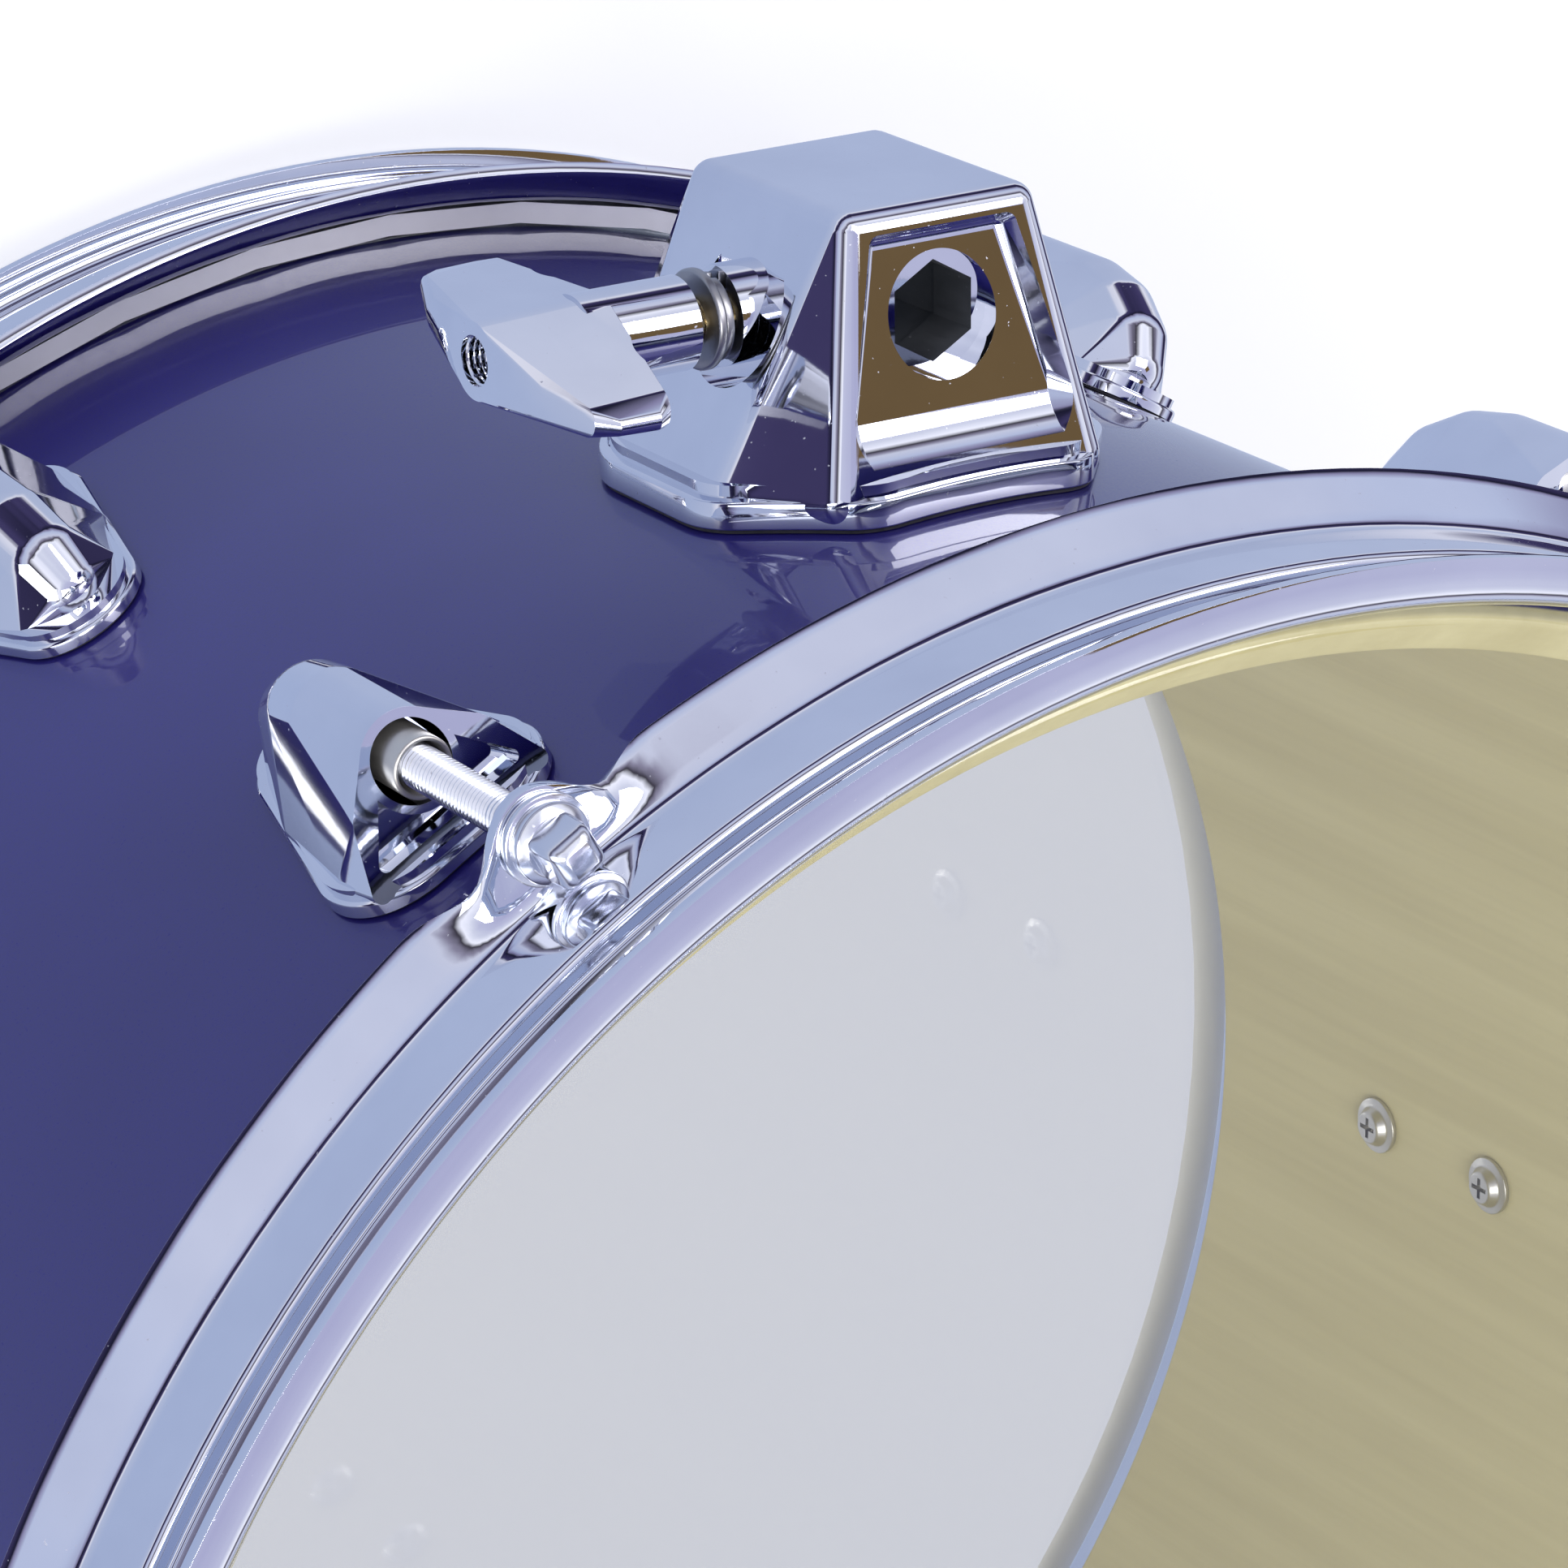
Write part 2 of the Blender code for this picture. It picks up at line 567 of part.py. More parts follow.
def curved_plate(name, outline, inner, outer, collection, cutters, material=None):
    """Plate that wraps the shell between two radii, cut to an outline."""
    deep = SHELL_RADIUS - BRACKET_HALF_WIDTH / 3
    high = SHELL_RADIUS + BRACKET_HALF_WIDTH / 3
    points = [(r, y, z) for y, z in outline for r in (deep, high)]
    plate = hull_object(name, points, collection, material)
    heights = [z for y, z in outline]
    ends = (0, 0, min(heights) - CUTTER_REACH), (0, 0, max(heights) + CUTTER_REACH)
    boolean(plate, rod_object(name + "_outside", *ends, outer, cutters, RING_STEPS), 'INTERSECT')
    boolean(plate, rod_object(name + "_inside", *ends, inner, cutters, RING_STEPS), 'DIFFERENCE')
    return plate


def jaw_span():
    """Ends of the clamp jaw along the wing bolt, at rest."""
    eye = SOCKET_ACROSS_FLATS / 2 + JAW_EYE_CLEARANCE
    return -(eye + JAW_BACK_WALL), eye + JAW_BOLT_WALL


def bolt_seat():
    """Distances along the wing bolt of its washers' and its hub's faces."""
    spring = BOLT_BOSS_REACH + SEAT_GAP
    flat = spring + SPRING_WASHER_THICKNESS + SEAT_GAP
    hub = flat + FLAT_WASHER_THICKNESS + WING_GAP
    return spring, flat, hub


def bracket_body_points(low):
    """Corners of the bracket's raised body, whose front face leans back."""
    top = SHELL_RADIUS + BRACKET_HEIGHT
    front, back = bracket_body_ends()
    points = []
    for side in (1, -1):
        narrow = side * (BRACKET_FRONT_HALF_WIDTH + BRACKET_MARGIN / 4)
        wide = side * (BRACKET_HALF_WIDTH - BRACKET_MARGIN)
        for z in (bracket_top_front(), bracket_top_front() - BRACKET_TOP_LENGTH):
            points.append((top, side * BRACKET_TOP_HALF_WIDTH, z))
        for z in (front, back):
            points.append((low, narrow, z))
        for z in (front - BRACKET_CORNER, back + BRACKET_BODY_BACK):
            points.append((low - BRACKET_MARGIN / 2, wide, z))
    return points


def bracket_body_ends():
    front = -BRACKET_FRONT - BRACKET_MARGIN
    return front, -(BRACKET_FRONT + BRACKET_LENGTH) + BRACKET_MARGIN


def bracket_top_front():
    return BRACKET_MIDDLE + BRACKET_TOP_LENGTH / 2 + BRACKET_MARGIN


def make_bracket(parts, cutters, chrome, rubber, steel):
    gasket_in = SHELL_RADIUS + SEAT_GAP
    gasket_out = gasket_in + BRACKET_GASKET
    plate_in = gasket_out + SEAT_GAP
    plate_out = plate_in + BRACKET_PLATE
    frame = bracket_frame()
    front, back = bracket_body_ends()
    bracket = curved_plate("mount_bracket", bracket_outline(0), plate_in, plate_out,
                           parts, cutters, chrome)
    body = hull_object("bracket_body", bracket_body_points(plate_out - BRACKET_MARGIN / 2), cutters)
    bevel(body, BRACKET_EDGE)
    boolean(bracket, body, 'UNION')
    bolt = Vector((SOCKET_RADIUS, 0, BRACKET_MIDDLE + BOLT_RISE))
    reach = Vector((0, BOLT_BOSS_REACH, 0))
    boss = rod_object("bolt_boss", bolt + reach - Vector((0, BOLT_BOSS_LENGTH, 0)), bolt + reach,
                      BOLT_BOSS_RADIUS, cutters, BOSS_STEPS)
    boolean(bracket, boss, 'UNION')
    low_end = (0, 0, back - CUTTER_REACH)
    high_end = (0, 0, front + CUTTER_REACH)
    underside = rod_object("bracket_underside", low_end, high_end, plate_in, cutters, RING_STEPS)
    boolean(bracket, underside, 'DIFFERENCE')
    x = SOCKET_RADIUS
    low_end = (x, 0, back - CUTTER_REACH)
    high_end = (x, 0, front + CUTTER_REACH)
    boolean(bracket, rod_object("socket", low_end, high_end, SOCKET_CORNER_RADIUS, cutters, 6), 'DIFFERENCE')
    lean = (front - bracket_top_front()) / (BRACKET_HEIGHT - BRACKET_PLATE)
    face = front - lean * (SOCKET_HEIGHT - BRACKET_PLATE)
    recess = rod_object("socket_recess", (x, 0, face - SOCKET_RECESS_DEPTH), high_end,
                        SOCKET_RECESS_RADIUS, cutters, BOSS_STEPS)
    boolean(bracket, recess, 'DIFFERENCE')
    low, high = jaw_span()
    slack = JAW_TRAVEL + SEAT_GAP
    pocket_z = JAW_THICKNESS / 2 + RUN_GAP
    pocket_x = (plate_in - BRACKET_PLATE, SOCKET_RADIUS + JAW_HALF_HEIGHT + RUN_GAP)
    pocket = hull_object("jaw_pocket", [
        (x, y, bolt.z + z) for x in pocket_x for y in (low - slack, high + slack)
        for z in (-pocket_z, pocket_z)], cutters)
    boolean(bracket, pocket, 'DIFFERENCE')
    hole = rod_object("bolt_hole", bolt, bolt + reach * 2, BOLT_RADIUS + RUN_GAP, cutters)
    boolean(bracket, hole, 'DIFFERENCE')
    bm = bmesh.new()
    for turn, z in bracket_screw_places():
        tip = plate_in + BRACKET_SCREW_GRIP + SEAT_GAP
        add_rod(bm, radial(turn, gasket_in - BRACKET_PLATE, z), radial(turn, tip, z),
                BRACKET_SCREW_RADIUS + RUN_GAP, steps=HOLE_STEPS)
    threads = link("bracket_threads", mesh_from(bm, "bracket_threads"), cutters)
    boolean(bracket, threads, 'DIFFERENCE')
    smooth(baked(bracket), 25)
    bracket.matrix_world = frame
    gasket = curved_plate("mount_gasket", bracket_outline(BRACKET_GASKET / 3), gasket_in, gasket_out,
                          parts, cutters, rubber)
    boolean(gasket, threads, 'DIFFERENCE')
    baked(gasket)
    gasket.matrix_world = frame
    for i, (turn, z) in enumerate(bracket_screw_places()):
        name = f"bracket_screw_{i + 1}"
        screw, head = shell_screw(name, plate_in + BRACKET_SCREW_GRIP, 0, BRACKET_SCREW_RADIUS, cutters)
        cutters.objects.unlink(screw)
        parts.objects.link(screw)
        screw.name = name
        screw.data.materials.append(steel)
        boolean(screw, head, 'UNION')
        smooth(baked(screw))
        screw.matrix_world = frame @ Matrix.Translation((0, 0, z)) @ Matrix.Rotation(turn, 4, 'Z')
    return bolt


def make_clamp(parts, cutters, bolt, chrome, steel):
    """Jaw round the arm's socket, washers and wing bolt, all on the bolt's axis."""
    place = bracket_frame() @ Matrix.Translation(bolt) @ Matrix.Rotation(-math.pi / 2, 4, 'X')
    low, high = jaw_span()
    half = JAW_THICKNESS / 2
    jaw = hull_object("clamp_jaw", [
        (x, y, z) for x in (-JAW_HALF_HEIGHT, JAW_HALF_HEIGHT) for y in (-half, half) for z in (low, high)],
        parts, steel)
    eye = (SOCKET_ACROSS_FLATS / 2 + JAW_EYE_CLEARANCE) / math.cos(math.pi / 6)
    eye_hole = rod_object("jaw_eye", (0, -half * 2, 0), (0, half * 2, 0), eye, cutters, 6, math.pi / 6)
    boolean(jaw, eye_hole, 'DIFFERENCE')
    thread = rod_object("jaw_thread", (0, 0, 0), (0, 0, high * 2), BOLT_RADIUS + RUN_GAP, cutters)
    boolean(jaw, thread, 'DIFFERENCE')
    smooth(baked(jaw), 25)
    jaw.matrix_world = place
    spring, flat, hub = bolt_seat()
    inner = BOLT_RADIUS + RUN_GAP
    for name, start, thickness, outer in (
            ("spring_washer", spring, SPRING_WASHER_THICKNESS, SPRING_WASHER_RADIUS),
            ("flat_washer", flat, FLAT_WASHER_THICKNESS, FLAT_WASHER_RADIUS)):
        profile = [(outer, start + thickness), (outer, start), (inner, start), (inner, start + thickness)]
        washer = smooth(baked(turned(name, profile, parts, steel, BOSS_STEPS)))
        washer.matrix_world = place
    tip = SOCKET_ACROSS_FLATS / 2 + JAW_EYE_CLEARANCE + JAW_TRAVEL + SEAT_GAP
    wing = wing_object(parts, cutters, hub, chrome)
    barrel = rod_object("wing_hub", (0, 0, hub), (0, 0, hub + WING_HUB_LENGTH), WING_HUB_RADIUS,
                        cutters, BOSS_STEPS)
    shank = rod_object("bolt_shank", (0, 0, tip), (0, 0, hub + WING_HUB_LENGTH / 2), BOLT_RADIUS, cutters)
    end = hub + WING_REACH
    hole = rod_object("wing_hole", (0, 0, end - WING_HOLE_DEPTH), (0, 0, end + WING_HOLE_DEPTH),
                      WING_HOLE_RADIUS, cutters)
    boolean(wing, barrel, 'UNION')
    boolean(wing, shank, 'UNION')
    boolean(wing, hole, 'DIFFERENCE')
    smooth(baked(wing), 35)
    wing.matrix_world = place


def wing_object(parts, cutters, hub, material):
    """Crescent of the T handle, drawn as a flat outline across the bolt's axis and thickened."""
    inner, outer = hub + WING_ROOT, hub + WING_REACH
    tip_low, tip_high = hub + WING_REACH * WING_TIP_LOW, hub + WING_REACH * WING_TIP_HIGH
    points = []
    for i in range(WING_STEPS + 1):
        share = i / WING_STEPS
        points.append((WING_SPAN * share, outer + (tip_high - outer) * share ** 2))
    for i in range(WING_STEPS + 1):
        share = 1 - i / WING_STEPS
        points.append((WING_SPAN * share, inner + (tip_low - inner) * share ** 1.5))
    mirrored = [(-y, z) for y, z in reversed(points)]
    outline = points + mirrored[1:-1]
    curve = bpy.data.curves.new("wing_outline", 'CURVE')
    curve.dimensions = '2D'
    curve.fill_mode = 'BOTH'
    curve.extrude = WING_THICKNESS / 2
    spline = curve.splines.new('POLY')
    spline.points.add(len(outline) - 1)
    for point, (y, z) in zip(spline.points, outline):
        point.co = (y, z, 0, 1)
    spline.use_cyclic_u = True
    drawn = bpy.data.objects.new("wing_outline", curve)
    cutters.objects.link(drawn)
    stand = Matrix.Rotation(math.pi / 2, 4, 'X')
    drawn.matrix_world = Matrix.Rotation(math.pi / 2 - WING_TILT, 4, 'Z') @ stand
    bpy.context.view_layer.update()
    mesh = bpy.data.meshes.new_from_object(drawn.evaluated_get(bpy.context.evaluated_depsgraph_get()))
    bm = bmesh.new()
    bm.from_mesh(mesh)
    bmesh.ops.remove_doubles(bm, verts=bm.verts, dist=MERGE)
    bmesh.ops.transform(bm, matrix=drawn.matrix_world, verts=bm.verts)
    wing = link("wing_bolt", mesh_from(bm, "wing_bolt"), parts, material)
    bpy.data.objects.remove(drawn)
    bevel(wing, WING_EDGE, 50)
    return wing


def make_vent(parts, material):
    """Grommet that lines the air hole, with a flange outside and a rolled end inside."""
    outside = SHELL_RADIUS + SEAT_GAP
    inside = SHELL_INNER_RADIUS - SEAT_GAP
    tube = VENT_BORE_RADIUS + VENT_WALL
    thick = VENT_FLANGE_THICKNESS
    profile = [
        (VENT_FLANGE_RADIUS - thick / 2, outside + thick), (VENT_FLANGE_RADIUS, outside),
        (tube, outside), (tube, inside), (tube + VENT_WALL, inside - thick),
        (VENT_BORE_RADIUS, inside - thick), (VENT_BORE_RADIUS, outside + thick)]
    vent = turned("vent_grommet", profile, parts, material, BOSS_STEPS)
    smooth(baked(vent))
    vent.matrix_world = Matrix.Translation((0, 0, MIDDLE_Z)) @ Matrix.Rotation(-math.pi / 2, 4, 'X')


def stand_on_axis(collections):
    """Hang every piece on an empty on the drum's axis, so that the box's middle is the origin."""
    front = SHELL_RADIUS + BRACKET_HEIGHT
    back = skirt_radius() + HOOP_FLANGE_REACH
    axis = bpy.data.objects.new("drum_axis", None)
    bpy.context.scene.collection.objects.link(axis)
    axis.location = (0, (front - back) / 2, 0)
    for collection in collections:
        for obj in collection.objects:
            if obj.parent is None:
                obj.parent = axis
    bpy.context.view_layer.update()


def main():
    for obj in list(bpy.data.objects):
        bpy.data.objects.remove(obj)
    parts = new_collection("rack_tom")
    cutters = new_collection("cutters")
    lacquer = new_material("violet_lacquer", (0.055, 0.045, 0.22), 0.12, 0.3)
    chrome = new_material("chrome", (0.72, 0.73, 0.78), 0.08, 1.0)
    zinc = new_material("zinc_plate", (0.62, 0.60, 0.55), 0.3, 1.0)
    film = new_material("clear_film", (0.78, 0.80, 0.82), 0.1, 0.0)
    alloy = new_material("aluminium", (0.70, 0.70, 0.72), 0.35, 1.0)
    rubber = new_material("rubber", (0.02, 0.02, 0.03), 0.6, 0.0)
    make_shell(parts, cutters, lacquer)
    make_hoops(parts, cutters, chrome)
    make_heads(parts, film, alloy)
    make_rods(parts, cutters, chrome)
    make_nuts(parts, zinc)
    make_lugs(parts, cutters, chrome)
    bolt = make_bracket(parts, cutters, chrome, rubber, zinc)
    make_clamp(parts, cutters, bolt, chrome, zinc)
    make_vent(parts, chrome)
    stand_on_axis([parts, cutters])


main()
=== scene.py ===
import math

import bmesh
import bpy
from mathutils import Matrix, Vector


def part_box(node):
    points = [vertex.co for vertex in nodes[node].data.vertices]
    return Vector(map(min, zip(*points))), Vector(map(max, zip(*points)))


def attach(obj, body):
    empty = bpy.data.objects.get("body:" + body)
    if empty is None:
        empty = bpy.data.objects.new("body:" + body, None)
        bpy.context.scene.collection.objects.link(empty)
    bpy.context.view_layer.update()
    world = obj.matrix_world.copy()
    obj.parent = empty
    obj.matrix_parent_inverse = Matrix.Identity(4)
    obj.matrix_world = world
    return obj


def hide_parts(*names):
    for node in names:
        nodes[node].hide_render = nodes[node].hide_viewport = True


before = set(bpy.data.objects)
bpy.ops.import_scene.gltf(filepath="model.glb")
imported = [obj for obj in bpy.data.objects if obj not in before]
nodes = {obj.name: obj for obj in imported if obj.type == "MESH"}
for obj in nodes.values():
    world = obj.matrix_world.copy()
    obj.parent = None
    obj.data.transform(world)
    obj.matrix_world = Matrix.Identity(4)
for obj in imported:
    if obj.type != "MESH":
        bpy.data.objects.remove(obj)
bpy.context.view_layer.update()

# The rack tom in its studio. The drum's axis is along Z, its batter head is on top and the bracket
# faces -Y. Pieces are modelled round Z and then moved with the axis by axisShift, as in the CAD.
axisShift = (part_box("shell")[0].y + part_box("shell")[1].y) / 2

# places shared by the pieces, in metres
drum = {
    "shellRadius": 0.1640,
    "shellWall": 0.0072,
    "shellBottom": 0.0083,
    "shellTop": 0.2249,
    "batterFlange": 0.2048,
    "resonantFlange": 0.0284,
    "rodCircle": 0.1763,
    "lugCount": 6,
    "firstLug": -60.0,
}
lugTurns = [math.radians(drum["firstLug"] + 60.0 * i) for i in range(drum["lugCount"])]
batterSide = Matrix.Translation((0, 0, drum["batterFlange"]))
resonantSide = Matrix.Translation((0, 0, drum["resonantFlange"])) @ Matrix.Rotation(math.pi, 4, 'X')


# small helpers for modelling by operators
def clearSelection():
    if bpy.context.object and bpy.context.object.mode != 'OBJECT':
        bpy.ops.object.mode_set(mode='OBJECT')
    bpy.ops.object.select_all(action='DESELECT')


def named(name):
    piece = bpy.context.object
    piece.name = name
    piece.data.name = name
    return piece


def only(piece):
    clearSelection()
    piece.hide_set(False)
    piece.select_set(True)
    bpy.context.view_layer.objects.active = piece
    return piece


def editing(piece, how='VERT'):
    only(piece)
    bpy.ops.object.mode_set(mode='EDIT')
    bpy.ops.mesh.select_mode(type=how)
    bpy.ops.mesh.select_all(action='DESELECT')


def finishEdit():
    bpy.ops.object.mode_set(mode='OBJECT')


def pick(piece, test, how='VERT'):
    # selects in edit mode what the test accepts: points by place, faces and edges by themselves
    mesh = bmesh.from_edit_mesh(piece.data)
    group = {'VERT': mesh.verts, 'EDGE': mesh.edges, 'FACE': mesh.faces}[how]
    bpy.ops.mesh.select_mode(type=how)
    bpy.ops.mesh.select_all(action='DESELECT')
    count = 0
    for item in group:
        if not item.hide and test(item.co if how == 'VERT' else item):
            item.select = True
            count += 1
    mesh.select_flush_mode()
    bmesh.update_edit_mesh(piece.data)
    return count


def applied(piece):
    only(piece)
    for modifier in list(piece.modifiers):
        bpy.ops.object.modifier_apply(modifier=modifier.name)
    return piece


def settled(piece):
    # place, turn and scale go into the mesh
    only(piece)
    bpy.ops.object.transform_apply(location=True, rotation=True, scale=True)
    return piece


def joined(name, pieces):
    clearSelection()
    for piece in pieces:
        piece.select_set(True)
    bpy.context.view_layer.objects.active = pieces[0]
    if len(pieces) > 1:
        bpy.ops.object.join()
    return named(name)


def outward(piece, merge=0.00002):
    editing(piece)
    bpy.ops.mesh.select_all(action='SELECT')
    bpy.ops.mesh.remove_doubles(threshold=merge)
    bpy.ops.mesh.normals_make_consistent(inside=False)
    finishEdit()
    return piece


def smoothed(piece, degrees=35):
    only(piece)
    bpy.ops.object.shade_smooth_by_angle(angle=math.radians(degrees))
    return piece


def cut(piece, tool, how='DIFFERENCE'):
    step = piece.modifiers.new("cut", 'BOOLEAN')
    step.operation = how
    step.solver = 'EXACT'
    step.object = tool
    applied(piece)
    bpy.data.objects.remove(tool)
    return piece


def rounded(piece, width, segments=3, degrees=30):
    step = piece.modifiers.new("round", 'BEVEL')
    step.width = width
    step.segments = segments
    step.limit_method = 'ANGLE'
    step.angle_limit = math.radians(degrees)
    step.harden_normals = False
    step.miter_outer = 'MITER_ARC'
    return applied(piece)


def rod(name, start, end, radius, sides=48, endRadius=None):
    # a round bar from one point to another
    a, b = Vector(start), Vector(end)
    clearSelection()
    bpy.ops.mesh.primitive_cone_add(
        vertices=sides, radius1=radius, radius2=radius if endRadius is None else endRadius,
        depth=(b - a).length, location=(a + b) / 2,
        rotation=(b - a).to_track_quat('Z', 'Y').to_euler())
    return settled(named(name))


def turnedPiece(name, outline, steps, closed=True):
    # an outline of (radius, height) is drawn point by point and spun round Z
    clearSelection()
    bpy.ops.mesh.primitive_plane_add(size=0.001, location=(outline[0][0], 0, outline[0][1]))
    piece = settled(named(name))
    editing(piece)
    bpy.ops.mesh.select_all(action='SELECT')
    bpy.ops.mesh.merge(type='CENTER')
    for (r0, z0), (r1, z1) in zip(outline, outline[1:]):
        bpy.ops.mesh.extrude_region_move(TRANSFORM_OT_translate={"value": (r1 - r0, 0, z1 - z0)})
    if closed:
        ends = (outline[0], outline[-1])
        pick(piece, lambda c: min(math.hypot(c.x - r, c.z - z) for r, z in ends) < 1e-6)
        bpy.ops.mesh.edge_face_add()
    bpy.ops.mesh.select_all(action='SELECT')
    bpy.ops.mesh.spin(steps=steps, angle=2 * math.pi, center=(0, 0, 0), axis=(0, 0, 1))
    finishEdit()
    return outward(piece, 0.000002)


def filleted(points, radii, pieces=5):
    # an open outline with its inner corners rounded
    result = [points[0]]
    for before, corner, after, radius in zip(points, points[1:], points[2:], radii):
        p, a, b = Vector(corner), Vector(before), Vector(after)
        u, v = (a - p), (b - p)
        half = u.angle(v) / 2
        if radius <= 0 or abs(half - math.pi / 2) < 0.01:
            result.append(corner)
            continue
        reach = min(radius / math.tan(half), u.length * 0.49, v.length * 0.49)
        u.normalize()
        v.normalize()
        start, stop = p + u * reach, p + v * reach
        middle = p + (u + v).normalized() * (reach / math.cos(half))
        a0 = start - middle
        turn = a0.angle_signed(stop - middle)
        for k in range(pieces + 1):
            c, s = math.cos(-turn * k / pieces), math.sin(-turn * k / pieces)
            result.append((middle.x + a0.x * c - a0.y * s, middle.y + a0.x * s + a0.y * c))
    result.append(points[-1])
    return result


def copiesOf(master, family):
    # one master, one copy with its own mesh at every lug place on both sides
    made = []
    for side, seat in (("batter", batterSide), ("resonant", resonantSide)):
        for i, turn in enumerate(lugTurns):
            piece = master.copy()
            piece.data = master.data.copy()
            piece.name = f"{family}_{side}_{i + 1}_dressed"
            bpy.context.scene.collection.objects.link(piece)
            piece.data.transform(Matrix.Rotation(turn, 4, 'Z') @ seat)
            made.append((piece, f"{family}_{side}_{i + 1}"))
    bpy.data.objects.remove(master)
    return made


# finishes
class Wire:
    # one output socket, so that a finish can be written as plain sums
    def __init__(self, tree, socket):
        self.tree = tree
        self.socket = socket

    def maths(self, operation, *others):
        node = self.tree.nodes.new("ShaderNodeMath")
        node.operation = operation
        for place, value in enumerate((self,) + others):
            feed(self.tree, node.inputs[place], value)
        return Wire(self.tree, node.outputs[0])

    def __add__(self, other):
        return self.maths('ADD', other)

    def __radd__(self, other):
        return self.maths('ADD', other)

    def __sub__(self, other):
        return self.maths('SUBTRACT', other)

    def __rsub__(self, other):
        return (self * -1.0) + other

    def __mul__(self, other):
        return self.maths('MULTIPLY', other)

    def __rmul__(self, other):
        return self.maths('MULTIPLY', other)

    def __pow__(self, other):
        return self.maths('POWER', other)

    def stage(self, low, high):
        # 0 below low, 1 above high, soft between
        node = self.tree.nodes.new("ShaderNodeMapRange")
        node.interpolation_type = 'SMOOTHSTEP'
        feed(self.tree, node.inputs["Value"], self)
        node.inputs["From Min"].default_value = low
        node.inputs["From Max"].default_value = high
        return Wire(self.tree, node.outputs["Result"])

    def node(self, kind, into, out=0, **inputs):
        # any other node, with this socket going into one of its inputs
        made = self.tree.nodes.new(kind)
        settings = inputs.pop("settings", {})
        for key, value in settings.items():
            setattr(made, key, value)
        feed(self.tree, made.inputs[into], self)
        for key, value in inputs.items():
            feed(self.tree, made.inputs[key.replace("_", " ")], value)
        return Wire(self.tree, made.outputs[out])


def feed(tree, socket, value):
    if isinstance(value, Wire):
        tree.links.new(value.socket, socket)
    else:
        socket.default_value = value


def newFinish(name):
    finish = bpy.data.materials.new(name)
    finish.use_nodes = True
    tree = finish.node_tree
    shader = tree.nodes["Principled BSDF"]
    coords = tree.nodes.new("ShaderNodeTexCoord")
    return finish, tree, shader, Wire(tree, coords.outputs["Object"])


def noise(place, scale, detail=3.0, rough=0.55, stretch=(1, 1, 1)):
    moved = place.node("ShaderNodeMapping", "Vector", Scale=stretch)
    return moved.node("ShaderNodeTexNoise", "Vector", "Fac", Scale=scale, Detail=detail, Roughness=rough)


def ramp(value, *stops):
    # colours at places along a value
    made = value.tree.nodes.new("ShaderNodeValToRGB")
    feed(value.tree, made.inputs["Fac"], value)
    row = made.color_ramp.elements
    while len(row) < len(stops):
        row.new(1.0)
    for element, (place, colour) in zip(row, stops):
        element.position = place
        element.color = (*colour, 1.0)
    return Wire(value.tree, made.outputs["Color"])


def bumped(height, strength, distance):
    return height.node("ShaderNodeBump", "Height", "Normal", Strength=strength, Distance=distance)


def plating(name, light, dark, roughness, scratch=0.15):
    # polished plating: faint clouding, fine polishing lines and a few specks of dust
    finish, tree, shader, place = newFinish(name)
    cloud = noise(place, 60.0)
    lines = noise(place, 900.0, 2.0, 0.6, (1, 1, 0.12))
    specks = noise(place, 1500.0, 1.0).stage(0.74, 0.80)
    colour = ramp(cloud, (0.25, dark), (0.75, light))
    mixed = tree.nodes.new("ShaderNodeMix")
    mixed.data_type = 'RGBA'
    feed(tree, mixed.inputs["Factor"], specks * 0.35)
    feed(tree, mixed.inputs[6], colour)
    mixed.inputs[7].default_value = (0.80, 0.80, 0.82, 1)
    feed(tree, shader.inputs["Base Color"], Wire(tree, mixed.outputs[2]))
    shader.inputs["Metallic"].default_value = 1.0
    polish = roughness * (0.8 + cloud * 0.4) + lines * (roughness * 0.4)
    feed(tree, shader.inputs["Roughness"], polish + specks * 0.25)
    feed(tree, shader.inputs["Normal"], bumped(cloud * 0.5 + lines * scratch, 0.04, 0.0002))
    return finish


